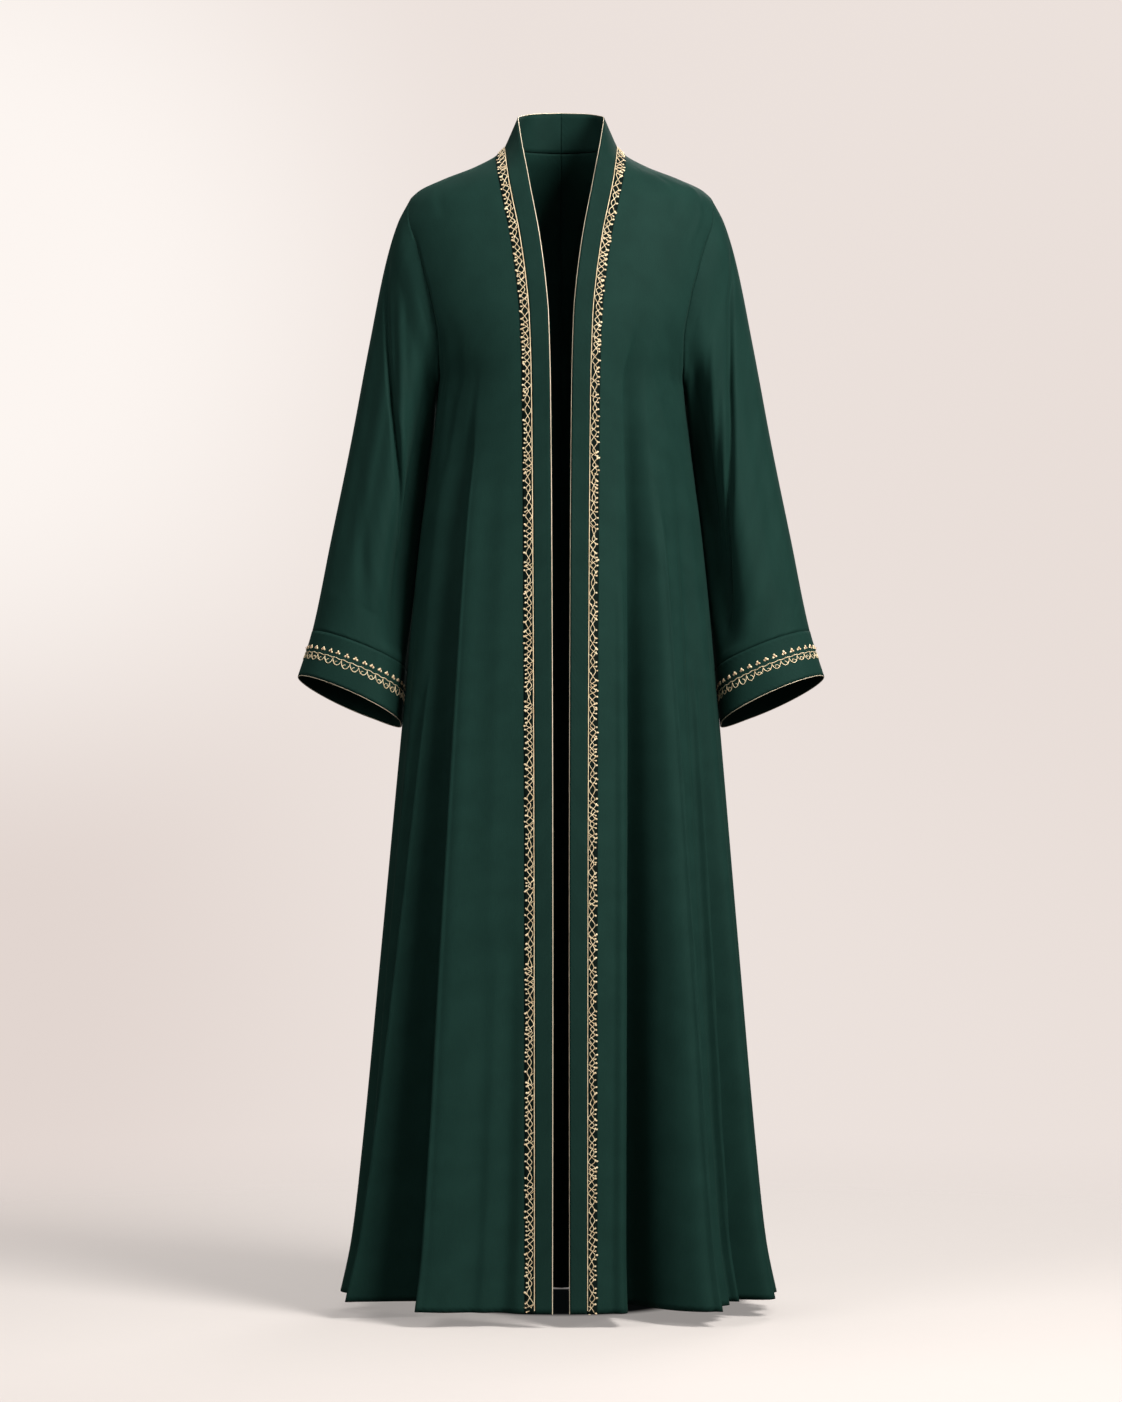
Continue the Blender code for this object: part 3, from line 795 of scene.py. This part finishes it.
def thread(name, deep, light, metallic=0.12, roughness=0.42):
    """Thread or cord: fine wound strands that change in tone from stitch to stitch."""
    material = bpy.data.materials.new(name)
    tree = empty_tree(material)
    place = tree.node("ShaderNodeTexCoord", output="Object")
    patch = tree.noise(place, PATCH_SCALE, 2.0)
    strand = tree.noise(place, STRAND_SCALE, 1.0)
    tone = (patch * 0.7 + strand * 0.3).smooth_step(0.32, 0.66)
    colour = tree.blend(tone, rgb(deep), rgb(light))
    values = {"Height": strand, "Distance": STRAND_HEIGHT, "Strength": 0.6}
    normal = tree.node("ShaderNodeBump", values)
    finish_material(tree, {
        "Base Color": colour,
        "Roughness": roughness + strand * 0.15,
        "Metallic": metallic,
        "Normal": normal,
        "Sheen Weight": 0.1,
    })
    return material


# ---- meshes

def new_piece(name, mesh):
    piece = bpy.data.objects.new(name, mesh)
    bpy.context.scene.collection.objects.link(piece)
    return piece


def new_mesh(name, points, edges, faces):
    """A mesh through points, with its edges or its faces."""
    mesh = bpy.data.meshes.new(name)
    mesh.from_pydata(points, edges, faces)
    return mesh


def keep_values(mesh, name, values):
    """Keeps a number or a direction for each point of a mesh."""
    vectors = isinstance(values[0], Vector)
    layer = mesh.attributes.new(name, "FLOAT_VECTOR" if vectors else "FLOAT", "POINT")
    if vectors:
        layer.data.foreach_set("vector", [part for value in values for part in value])
    else:
        layer.data.foreach_set("value", values)


def distances(points):
    """How far each point lies from the first, along the line through them."""
    total = [0.0]
    for before, after in zip(points, points[1:]):
        total.append(total[-1] + (after - before).length)
    return total


def cut_size(rows):
    """Width, length and area of a piece of cloth, laid flat before it was sewn."""
    width = max(distances(row)[-1] for row in rows)
    length = max(distances(column)[-1] for column in zip(*rows))
    area = 0.0
    for upper, lower in zip(rows, rows[1:]):
        for a, b, c, d in zip(upper, upper[1:], lower[1:], lower):
            area += (c - a).cross(d - b).length / 2
    return width, length, area


def make_cloth(name, rows, thickness, material, inside_out, closed):
    """Cloth through a grid of points, with its size laid out flat as its UV map.

    The rows of a closed piece end at the point that they start from.
    """
    across = len(rows[0])
    points = across - 1 if closed else across
    corners = [place for row in rows for place in row[:points]]
    spread = [distances(row) for row in rows]
    fall = list(zip(*(distances(column) for column in zip(*rows))))
    faces, weave, edges = [], [], []
    for r in range(len(rows) - 1):
        for c in range(across - 1):
            face = [(r, c), (r, c + 1), (r + 1, c + 1), (r + 1, c)]
            if inside_out:
                face = [face[i] for i in (0, 3, 2, 1)]
            faces.append([i * points + j % points for i, j in face])
            for i, j in face:
                side, down = spread[i][j], fall[i][j]
                weave.append((side, down))
                edges.append((min(side, spread[i][-1] - side), min(down, fall[-1][j] - down)))
    mesh = new_mesh(name, corners, [], faces)
    for layer_name, places in (("weave", weave), ("edges", edges)):
        layer = mesh.uv_layers.new(name=layer_name)
        layer.data.foreach_set("uv", [part for place in places for part in place])
    mesh.materials.append(material)
    mesh.shade_smooth()
    piece = new_piece(name, mesh)
    wall = piece.modifiers.new("Cloth thickness", "SOLIDIFY")
    wall.thickness = thickness
    wall.offset = 0.0
    return piece


# ---- trees that sew

def new_geometry_tree(name, inputs):
    """A geometry tree with named inputs, and the value of each of them."""
    group = bpy.data.node_groups.new(name, "GeometryNodeTree")
    group.interface.new_socket("Geometry", in_out="INPUT", socket_type="NodeSocketGeometry")
    for label, kind in inputs:
        group.interface.new_socket(label, in_out="INPUT", socket_type=kind)
    group.interface.new_socket("Geometry", in_out="OUTPUT", socket_type="NodeSocketGeometry")
    tree = Tree(group)
    entry = tree.node("NodeGroupInput").socket.node
    return tree, {socket.name: Value(tree, socket) for socket in entry.outputs if socket.name}


def finish_geometry_tree(tree, shape, material):
    """Ends a geometry tree with a shape, made real, smooth and painted."""
    real = tree.node("GeometryNodeRealizeInstances", {"Geometry": shape})
    smooth = tree.node("GeometryNodeSetShadeSmooth", {"Geometry": real})
    painted = tree.node("GeometryNodeSetMaterial", {"Geometry": smooth, "Material": material})
    tree.node("NodeGroupOutput", {"Geometry": painted})
    return tree.group


def named(tree, name, kind="FLOAT"):
    return tree.node("GeometryNodeInputNamedAttribute", {"Name": name}, data_type=kind)


def cord_tree():
    """Round cord along each line of edges, as thick as its points say."""
    tree, given = new_geometry_tree("cord_along_lines", [
        ("Sides", "NodeSocketInt"), ("Material", "NodeSocketMaterial"),
    ])
    line = tree.node("GeometryNodeMeshToCurve", {"Mesh": given["Geometry"]})
    ring = tree.node("GeometryNodeCurvePrimitiveCircle", {
        "Resolution": given["Sides"], "Radius": 1.0,
    })
    cord = tree.node("GeometryNodeCurveToMesh", {
        "Curve": line, "Profile Curve": ring, "Scale": named(tree, "thickness"), "Fill Caps": True,
    })
    return finish_geometry_tree(tree, cord, given["Material"])


def sewing_tree():
    """One shape sewn on at each point, turned to the point's own directions."""
    tree, given = new_geometry_tree("shapes_on_points", [
        ("Shape", "NodeSocketObject"), ("Material", "NodeSocketMaterial"),
    ])
    shape = tree.node("GeometryNodeObjectInfo", {"Object": given["Shape"]}, "Geometry")
    turn = tree.node("FunctionNodeAxesToRotation", {
        "Primary Axis": named(tree, "outward", "FLOAT_VECTOR"),
        "Secondary Axis": named(tree, "forward", "FLOAT_VECTOR"),
    }, primary_axis="Z", secondary_axis="Y")
    sewn = tree.node("GeometryNodeInstanceOnPoints", {
        "Points": given["Geometry"], "Instance": shape, "Rotation": turn,
        "Scale": named(tree, "size"),
    })
    return finish_geometry_tree(tree, sewn, given["Material"])


def made_by(group, name, guide_mesh, inputs):
    """Runs a geometry tree on a mesh, and returns the plain mesh that it makes as a piece."""
    guide = new_piece(name + "_guide", guide_mesh)
    modifier = guide.modifiers.new("Make", "NODES")
    modifier.node_group = group
    for item in group.interface.items_tree:
        if item.in_out == "INPUT" and item.name in inputs:
            modifier[item.identifier] = inputs[item.name]
    graph = bpy.context.evaluated_depsgraph_get()
    mesh = bpy.data.meshes.new_from_object(guide.evaluated_get(graph))
    bpy.data.objects.remove(guide)
    mesh.name = name
    return new_piece(name, mesh)


def line_mesh(lines, closed=False):
    """Edges through lists of points, each given with the cord's radius there."""
    points, edges, radii = [], [], []
    for line in lines:
        first = len(points)
        points += [place for place, _ in line]
        radii += [radius for _, radius in line]
        edges += [(i, i + 1) for i in range(first, len(points) - 1)]
        if closed:
            edges.append((len(points) - 1, first))
    mesh = new_mesh("lines", points, edges, [])
    keep_values(mesh, "thickness", radii)
    return mesh


def point_mesh(spots):
    """Loose points, each with the directions and the size of what is sewn there."""
    places, *kept = zip(*spots)
    mesh = new_mesh("points", places, [], [])
    for label, values in zip(Spot._fields[1:], kept):
        keep_values(mesh, label, values)
    return mesh


# ---- embroidery

# A place on a border is given by its length along the strip, and the share of the
# strip's width from its first edge.
STITCH_LIFT = 0.0002
ROPE_RADIUS = 0.00052
LATTICE_RADIUS = 0.00039
TWIG_RADIUS = 0.0004
TWIG_BOW = 0.05
TWIG_STEPS = 4
ROUNDED_SHARES = (0.12, 0.32, 0.68, 0.88)

# The border beside the front band: a rope at its edge, and a lattice of two stems.
VINE_STEP = 0.0022
VINE_REACH = 0.0084  # the usual length from one knot of the lattice to the next
REACH_SHARES = (0.56, 1.56)
ROPE_SHARE = 0.05
TIP_SHARES = (0.66, 0.84)
INNER_SHARES = (0.02, 0.32)
INNER_SHIFT = 0.0022
BUD_SIZES = (0.0024, 0.0033)
BUD_TURN = 0.5
SMALL_BUD = 0.0024
SECOND_BUD_CHANCE = 0.45
SECOND_BUD_TURN = 1.4
SECOND_BUD_SINK = 0.04

# Twigs between its knots: for each end, how far along it is from the middle of the
# stretch, and its share across.
LOW_TWIG = ((-0.0026, 0.12), (0.0, 0.34))
LOW_TWIG_CHANCE = 0.5
HIGH_TWIG = ((0.0, 0.52), (0.001, 0.74))
HIGH_TWIG_CHANCE = 0.35
TWIG_BUD = (0.001, 0.72)

# The border of the cuff: a stem with flowers over it, and loops and hooks under it.
FLOWER_PITCH = 0.0115
LOOP_STEPS = 16
STEM_RADIUS = 0.00048
LOOP_RADIUS = 0.0005
HOOK_RADIUS = 0.00042
STEM_SHARE = 0.46
STEM_WAVE = 0.02
LOOP_SHARE = 0.42
LOOP_SAGS = (0.27, 0.36)
LOOP_SHAPE = 0.55
HOOK_SHARES = (0.26, 0.32)
HOOK_FOOT = (-0.28, 0.14)  # along, in parts of the pitch from its flower, and across
HOOK_TOP = 0.05
HOOK_END = (0.2, 0.2)
HOOK_END_CHANCE = 0.5
FLOWER_SHIFT = 0.0008
PETAL_SHARE = 0.72
PETAL_TURNS = (-1.8, 0.0, 1.8)
PETAL_SWAY = 0.25
PETAL_SIZES = (0.0031, 0.0037)
HEART_SHARE = 0.69
HEART_SIZE = 0.0023
HEART_LIFT = 0.0014

# Rings of the padded petal: the place along it, half its width, and its height there.
PETAL_RINGS = ((0.0, 0.10, 0.06), (0.25, 0.34, 0.24), (0.6, 0.42, 0.30), (0.88, 0.26, 0.20))
PETAL_TIP = (0.0, 1.0, 0.05)
PETAL_SIDES = 6

Spot = namedtuple("Spot", "place forward outward size")


class Border:
    """A strip of cloth to sew on, given by rows of points across it, in order along it."""

    def __init__(self, rows, outward_sign):
        self.rows = rows
        self.marks = distances([row[len(row) // 2] for row in rows])
        self.length = self.marks[-1]
        self.sign = outward_sign

    def _across(self, row, share):
        spot = min(max(share, 0.0), 1.0) * (len(row) - 1)
        i = min(int(spot), len(row) - 2)
        return row[i].lerp(row[i + 1], spot - i)

    def frame(self, along, share):
        """Place on the strip, with the directions along it, across it and out of it."""
        along = min(max(along, 0.0), self.length - 1e-6)
        i = min(bisect_right(self.marks, along) - 1, len(self.rows) - 2)
        t = (along - self.marks[i]) / (self.marks[i + 1] - self.marks[i])
        before, after = self._across(self.rows[i], share), self._across(self.rows[i + 1], share)
        onward = (after - before).normalized()
        sideways = (self.rows[i][-1] - self.rows[i][0]).normalized()
        outward = onward.cross(sideways).normalized() * self.sign
        return before.lerp(after, t), onward, sideways, outward

    def place(self, along, share, lift=0.0):
        spot, _, _, outward = self.frame(along, share)
        return spot + outward * lift

    def spot(self, along, share, turn, size, lift=0.0):
        """Where a shape is sewn on, pointing across the strip and turned from that."""
        place, onward, sideways, outward = self.frame(along, share)
        forward = sideways * math.cos(turn) + onward * math.sin(turn)
        return Spot(place + outward * lift, forward, outward, size)


def petal_shape():
    """A small padded petal, a unit long, which lies along +Y and swells up +Z."""
    sides = PETAL_SIDES
    points = []
    for along, half, height in PETAL_RINGS:
        for i in range(sides):
            turn = math.pi * i / (sides - 1)
            points.append((half * math.cos(turn), along, height * math.sin(turn)))
    points.append(PETAL_TIP)
    faces = []
    for r in range(len(PETAL_RINGS) - 1):
        for i in range(sides - 1):
            a = r * sides + i
            faces.append((a, a + 1, a + 1 + sides, a + sides))
    last = (len(PETAL_RINGS) - 1) * sides
    faces += [(last + i, last + i + 1, len(points) - 1) for i in range(sides - 1)]
    return new_piece("petal_shape", new_mesh("petal_shape", points, [], faces))


def front_vine(border, rng):
    """Lines and buds of the border beside the front band.

    Two stems cross back and forth between knots near the rope and knots at the other
    edge.  A bud sits at each knot there, some have a second one, and short twigs fill
    some of the gaps.
    """
    steps = int(border.length / VINE_STEP)
    lines = [[(border.place(VINE_STEP * i, ROPE_SHARE), ROPE_RADIUS) for i in range(steps)]]
    buds = []
    knots = {1: [], -1: []}
    along, sign = 0.0, 1
    while along < border.length:
        tip = rng.uniform(*TIP_SHARES)
        knots[sign].append((along, tip))
        inner = along + rng.uniform(-INNER_SHIFT, INNER_SHIFT)
        knots[-sign].append((inner, rng.uniform(*INNER_SHARES)))
        turn = rng.uniform(-BUD_TURN, BUD_TURN)
        buds.append(border.spot(along, tip, turn, rng.uniform(*BUD_SIZES)))
        if rng.random() < SECOND_BUD_CHANCE:
            second_turn = turn + rng.choice((-SECOND_BUD_TURN, SECOND_BUD_TURN))
            buds.append(border.spot(along, tip - SECOND_BUD_SINK, second_turn, SMALL_BUD))
        middle = along + VINE_REACH / 2
        if rng.random() < LOW_TWIG_CHANCE:
            lines.append(twig(border, middle, LOW_TWIG, TWIG_RADIUS))
        if rng.random() < HIGH_TWIG_CHANCE:
            lines.append(twig(border, middle, HIGH_TWIG, TWIG_RADIUS))
            buds.append(border.spot(middle + TWIG_BUD[0], TWIG_BUD[1], turn, SMALL_BUD))
        along += VINE_REACH * rng.uniform(*REACH_SHARES)
        sign = -sign
    for corners in knots.values():
        places = [border.place(*place, STITCH_LIFT) for place in rounded(corners)]
        lines.append([(place, LATTICE_RADIUS) for place in places])
    return lines, buds


def rounded(corners):
    """Places along a line through corners, cut short at each, as a thread turns."""
    return [
        (mix(before[0], after[0], t), mix(before[1], after[1], t))
        for before, after in zip(corners, corners[1:])
        for t in ROUNDED_SHARES
    ]


def twig(border, middle, ends, radius):
    """A short bowed line of thread between two ends, given from a place along the border."""
    (start, low), (stop, high) = ends
    line = []
    for t in even_shares(TWIG_STEPS):
        along = mix(middle + start, middle + stop, t)
        share = mix(low, high, t) + TWIG_BOW * math.sin(math.pi * t)
        line.append((border.place(along, share, STITCH_LIFT), radius))
    return line


def cuff_vine(border, rng):
    """Lines, petals and hearts of the cuff's border: flowers above a line, loops below it."""
    stem, loops, petals, hearts = [], [], [], []
    lines = [stem, loops]
    flowers = round(border.length / FLOWER_PITCH)
    pitch = border.length / flowers
    steps = flowers * LOOP_STEPS
    sags = [rng.uniform(*LOOP_SAGS) for _ in range(flowers + 1)]
    for i in range(steps + 1):
        turn = 2 * math.pi * i / LOOP_STEPS
        along = border.length * i / steps
        share = STEM_SHARE + STEM_WAVE * math.sin(turn)
        stem.append((border.place(along, share, STITCH_LIFT), STEM_RADIUS))
        share = LOOP_SHARE - sags[i // LOOP_STEPS] * abs(math.sin(turn / 2)) ** LOOP_SHAPE
        loops.append((border.place(along, share, STITCH_LIFT), LOOP_RADIUS))
    for i in range(flowers):
        along = pitch * (i + 0.5)
        flower = along + rng.uniform(-FLOWER_SHIFT, FLOWER_SHIFT)
        foot = (HOOK_FOOT[0] * pitch, HOOK_FOOT[1])
        top = (HOOK_TOP * pitch, rng.uniform(*HOOK_SHARES))
        end = (HOOK_END[0] * pitch, HOOK_END[1])
        lines.append(twig(border, along, (foot, top), HOOK_RADIUS))
        if rng.random() < HOOK_END_CHANCE:
            lines.append(twig(border, along, (top, end), HOOK_RADIUS))
        hearts.append(border.spot(flower, HEART_SHARE, 0.0, HEART_SIZE, HEART_LIFT))
        for turn in PETAL_TURNS:
            size = rng.uniform(*PETAL_SIZES)
            turn += rng.uniform(-PETAL_SWAY, PETAL_SWAY)
            petals.append(border.spot(flower, PETAL_SHARE, turn, size))
    return lines, petals, hearts


# ---- the cloak's pieces

def declare(piece, nodes=(), cut=None):
    """Attaches a piece to the root body and hides the solids that it stands for. Its cut is not
    used.
    """
    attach(piece, "root")
    if nodes:
        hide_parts(*nodes)


def sew_cloth(name, node, rows, thickness, material, inside_out, closed=False):
    if closed:
        rows = [row + row[:1] for row in rows]
    piece = make_cloth(name, rows, thickness, material, inside_out, closed)
    declare(piece, [node], cut_size(rows))


def make_panels(cloth, shade_ground):
    """The panels, and the strips beside the bands; gives the border on each strip."""
    borders = {}
    for side, sign in SIDES.items():
        strip = strip_places(side)
        rows = body_points(side, front_places(strip))
        sew_cloth(f"crepe_front_{side}", f"front_{side}", rows, CLOTH_THICKNESS, cloth, sign > 0)
        rows = body_points(side, back_places(strip))
        sew_cloth(f"crepe_back_{side}", f"back_{side}", rows, CLOTH_THICKNESS, cloth, sign < 0)
        # The strip under each border is near black, painted shade between the threads sewn on it.
        rows = lifted_points(side, strip, GROUND_LIFT)
        sew_cloth(
            f"border_ground_{side}", f"trim_{side}", rows, GROUND_THICKNESS, shade_ground, sign < 0)
        borders[side] = Border(lifted_points(side, strip, THREAD_LIFT), sign)
    return borders


def make_sleeves(cloth):
    """The sleeves and cuffs; gives each cuff's points."""
    cuffs = {}
    for side, sign in SIDES.items():
        rows = sleeve_points(side)
        sew_cloth(
            f"crepe_sleeve_{side}", f"sleeve_{side}", rows, CLOTH_THICKNESS, cloth, sign < 0, True)
        cuffs[side] = rows = cuff_points(side)
        sew_cloth(
            f"crepe_cuff_{side}", f"cuff_{side}", rows, BAND_THICKNESS, cloth, sign < 0, True)
    return cuffs


def make_bands(cloth):
    """The front bands and collar; gives each band's points."""
    bands = {}
    for side, sign in SIDES.items():
        bands[side] = rows = band_points(side)
        sew_cloth(f"crepe_band_{side}", f"band_{side}", rows, BAND_THICKNESS, cloth, sign > 0)
    return bands


def piping_line(rows, radius):
    """Line on the free edge of rows of points, where the cord sits, with its radius."""
    return [
        (row[-1] + (row[-1] - row[-2]).normalized() * PIPING_RADIUS * PIPING_SEAT, radius)
        for row in rows
    ]


def make_piping(bands, cuffs, cord, satin):
    """The cord round the front and the collar, and the one at each cuff's edge."""
    inputs = {"Sides": CORD_SIDES, "Material": satin}
    left, right = (piping_line(bands[side], PIPING_RADIUS * PIPING_SHARE[side]) for side in SIDES)
    mesh = line_mesh([left[:0:-1] + right])
    declare(made_by(cord, "piping_front", mesh, inputs), ["neck_piping"])
    for side, rows in cuffs.items():
        line = piping_line(list(zip(*rows)), PIPING_RADIUS)
        mesh = line_mesh([line], closed=True)
        piece = made_by(cord, f"piping_cuff_{side}", mesh, inputs)
        declare(piece, [f"cuff_piping_{side}"])


def cuff_border(side, sign):
    """The strip of the cuff that is embroidered, as rows across it from its lower edge."""
    upper, lower = CUFF_BORDER
    shares = [mix(lower, upper, share) for share in even_shares(CUFF_BORDER_COLUMNS)]
    rings = [sleeve_ring(side, share, BAND_THICKNESS / 2) for share in shares]
    rings = [ring + ring[:1] for ring in rings]
    return Border([list(row) for row in zip(*rings)], -sign)


def make_embroidery(borders, cord, sewing, gold, rose):
    """The threads of all the borders, and the padded shapes that are sewn on them."""
    rng = random.Random(7)
    petal = petal_shape()

    def sew_threads(name, lines):
        inputs = {"Sides": THREAD_SIDES, "Material": gold}
        declare(made_by(cord, name, line_mesh(lines), inputs))

    def sew_shapes(name, spots, material):
        inputs = {"Shape": petal, "Material": material}
        declare(made_by(sewing, name, point_mesh(spots), inputs))

    for side, sign in SIDES.items():
        lines, buds = front_vine(borders[side], rng)
        sew_threads(f"vine_front_{side}", lines)
        sew_shapes(f"buds_front_{side}", buds, gold)
        lines, petals, hearts = cuff_vine(cuff_border(side, sign), rng)
        sew_threads(f"vine_cuff_{side}", lines)
        sew_shapes(f"petals_cuff_{side}", petals, gold)
        sew_shapes(f"hearts_cuff_{side}", hearts, rose)
    bpy.data.objects.remove(petal)


# ---- studio

CAMERA_DISTANCE = 6.5
CAMERA_LEVEL = -0.6885
LENS_MM = 133.5
FLOOR_REACH = 30.0

# Name, place, size, power in watts, and colour.
LAMPS = [
    ("key", (1.85, -2.2, 1.3), 1.5, 184, (1.0, 0.98, 0.95)),
    ("fill", (-2.8, -3.0, 1.5), 2.6, 66, (1.0, 0.99, 0.98)),
    ("front", (0.2, -4.6, 0.8), 1.0, 9, (1.0, 0.99, 0.98)),
    ("top", (-0.6, 0.9, 2.8), 2.4, 32, (1.0, 0.99, 0.97)),
    ("back", (1.2, 3.6, 1.9), 1.6, 60, (1.0, 0.99, 0.98)),
]
AIM = Vector((0.0, 0.0, -0.7))
BACKDROP = (0.835, 0.755, 0.715)
BACKDROP_LIGHT = (0.98, 0.92, 0.88)
BACKDROP_SHADE = (0.76, 0.67, 0.63)
ROOM_LIGHT = 0.11  # how strongly the backdrop lights the cloak

# Patches of the backdrop: where each lies as seen from the room, and where it fades.
LOW_SHADE = ((-0.12, 0.99, -0.055), 0.02, 0.11)
UPPER_GLOW = ((-0.12, 0.99, 0.08), 0.03, 0.12)
SIDE_SHADE = ((0.14, 0.99, 0.02), 0.02, 0.14)
SIDE_SHADE_STRENGTH = 0.35

FLOOR_COLOUR = (0.495, 0.460, 0.440)
FLOOR_GRAIN_SCALE = 40.0
FLOOR_GRAIN_TONE = 0.985
FLOOR_GLOW = 0.58
FLOOR_DULL = (0.08, 0.073, 0.067)  # the colour of the light that it throws up
FLOOR_FADE = (0.3, 2.6)
UNDER_SHADOW_COLOUR = (0.003, 0.004, 0.004)  # the painted shadow, a dark round under the cloak
UNDER_CENTRE = (0.0, 0.09, FLOOR_LEVEL)
UNDER_SHADOW_REACH = (0.13, 0.17)


def distance_from(tree, place, centre):
    """How far a place is from a point, as a value of a tree."""
    values = {0: place, 1: centre}
    return tree.node("ShaderNodeVectorMath", values, output="Value", operation="DISTANCE")


def floor_paint():
    """Pale floor with a painted shadow under the cloak, that fades into the light backdrop far
    from it.
    """
    material = bpy.data.materials.new("studio_floor")
    tree = empty_tree(material)
    place = tree.node("ShaderNodeTexCoord", output="Object")
    away = distance_from(tree, place, UNDER_CENTRE)
    fade = away.smooth_step(*FLOOR_FADE)
    # Painted shadow: the floor turns near black in a round under the cloak.
    under = away.smooth_step(*UNDER_SHADOW_REACH)
    grain = tree.noise(place, FLOOR_GRAIN_SCALE, 2.0)
    colour = tree.blend(grain, rgb(FLOOR_COLOUR), rgb(FLOOR_COLOUR, FLOOR_GRAIN_TONE))
    colour = tree.blend(under, rgb(UNDER_SHADOW_COLOUR), colour)
    paint = tree.node("ShaderNodeBsdfPrincipled", {
        "Base Color": colour, "Roughness": 0.9, "Specular IOR Level": 0.0,
        "Emission Color": colour, "Emission Strength": FLOOR_GLOW,
    })
    clear = tree.node("ShaderNodeBsdfTransparent")
    dull = tree.node("ShaderNodeBsdfDiffuse", {"Color": rgb(FLOOR_DULL)})
    seen = tree.node("ShaderNodeLightPath")
    surface = tree.node("ShaderNodeMixShader", {0: seen, 1: dull, 2: paint})
    surface = tree.node("ShaderNodeMixShader", {0: fade, 1: surface, 2: clear})
    tree.node("ShaderNodeOutputMaterial", {"Surface": surface})
    return material


def make_studio():
    """The floor, lamps, backdrop and camera."""
    half = FLOOR_REACH
    sides = [(-half, -half), (half, -half), (half, half), (-half, half)]
    corners = [(x, y, FLOOR_LEVEL) for x, y in sides]
    mesh = new_mesh("studio_floor", corners, [], [(0, 1, 2, 3)])
    mesh.materials.append(floor_paint())
    floor = new_piece("studio_floor", mesh)
    for name, place, size, watts, colour in LAMPS:
        light = bpy.data.lights.new(name, "AREA")
        light.shape = "DISK"
        light.size = size
        light.energy = watts
        light.color = colour
        holder = new_piece(name, light)
        holder.location = place
        holder.rotation_euler = (AIM - holder.location).to_track_quat("-Z", "Y").to_euler()
    make_backdrop()
    camera = new_piece("camera", bpy.data.cameras.new("camera"))
    camera.data.lens = LENS_MM
    camera.location = (0.0, -CAMERA_DISTANCE, CAMERA_LEVEL)
    camera.rotation_euler = (math.pi / 2, 0.0, 0.0)
    bpy.context.scene.camera = camera
    bpy.context.scene.view_settings.view_transform = "Standard"


def in_patch(tree, direction, patch):
    """1 in the middle of a patch of the backdrop, and 0 outside it."""
    centre, inner, outer = patch
    return 1 - distance_from(tree, direction, centre).smooth_step(inner, outer)


def make_backdrop():
    """Pale light all round, brightest towards the upper left of the front view."""
    world = bpy.data.worlds.new("studio")
    bpy.context.scene.world = world
    tree = empty_tree(world)
    direction = tree.node("ShaderNodeTexCoord", output="Generated")
    shade = in_patch(tree, direction, LOW_SHADE)
    glow = in_patch(tree, direction, UPPER_GLOW)
    side = in_patch(tree, direction, SIDE_SHADE) * SIDE_SHADE_STRENGTH
    colour = tree.blend(side, rgb(BACKDROP), rgb(BACKDROP_SHADE))
    colour = tree.blend(shade, colour, rgb(BACKDROP_SHADE))
    colour = tree.blend(glow, colour, rgb(BACKDROP_LIGHT))
    seen = tree.node("ShaderNodeLightPath")
    strength = ROOM_LIGHT + seen * (1 - ROOM_LIGHT)
    light = tree.node("ShaderNodeBackground", {"Color": colour, "Strength": strength})
    tree.node("ShaderNodeOutputWorld", {"Surface": light})


def main():
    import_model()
    make_studio()
    panel_cloth = crepe("green_crepe", *GREEN)
    band_cloth = crepe("band_crepe", *BAND_GREEN)
    # The sleeves and cuffs have fainter painted shade in their seams.
    sleeve_cloth = crepe("cuff_crepe", *GREEN, SLEEVE_SEAM_SHADE_TONE)
    # Near black crepe under the embroidery: painted shade between its threads.
    shade_ground = crepe("shade_dark_crepe", *SHADE_GROUND_GREEN)
    gold = thread("gold_thread", *GOLD)
    rose = thread("rose_thread", *ROSE)
    satin = thread("piping_satin", *SATIN, metallic=0.1, roughness=0.35)
    cord, sewing = cord_tree(), sewing_tree()
    borders = make_panels(panel_cloth, shade_ground)
    cuffs = make_sleeves(sleeve_cloth)
    bands = make_bands(band_cloth)
    make_piping(bands, cuffs, cord, satin)
    make_embroidery(borders, cord, sewing, gold, rose)


main()
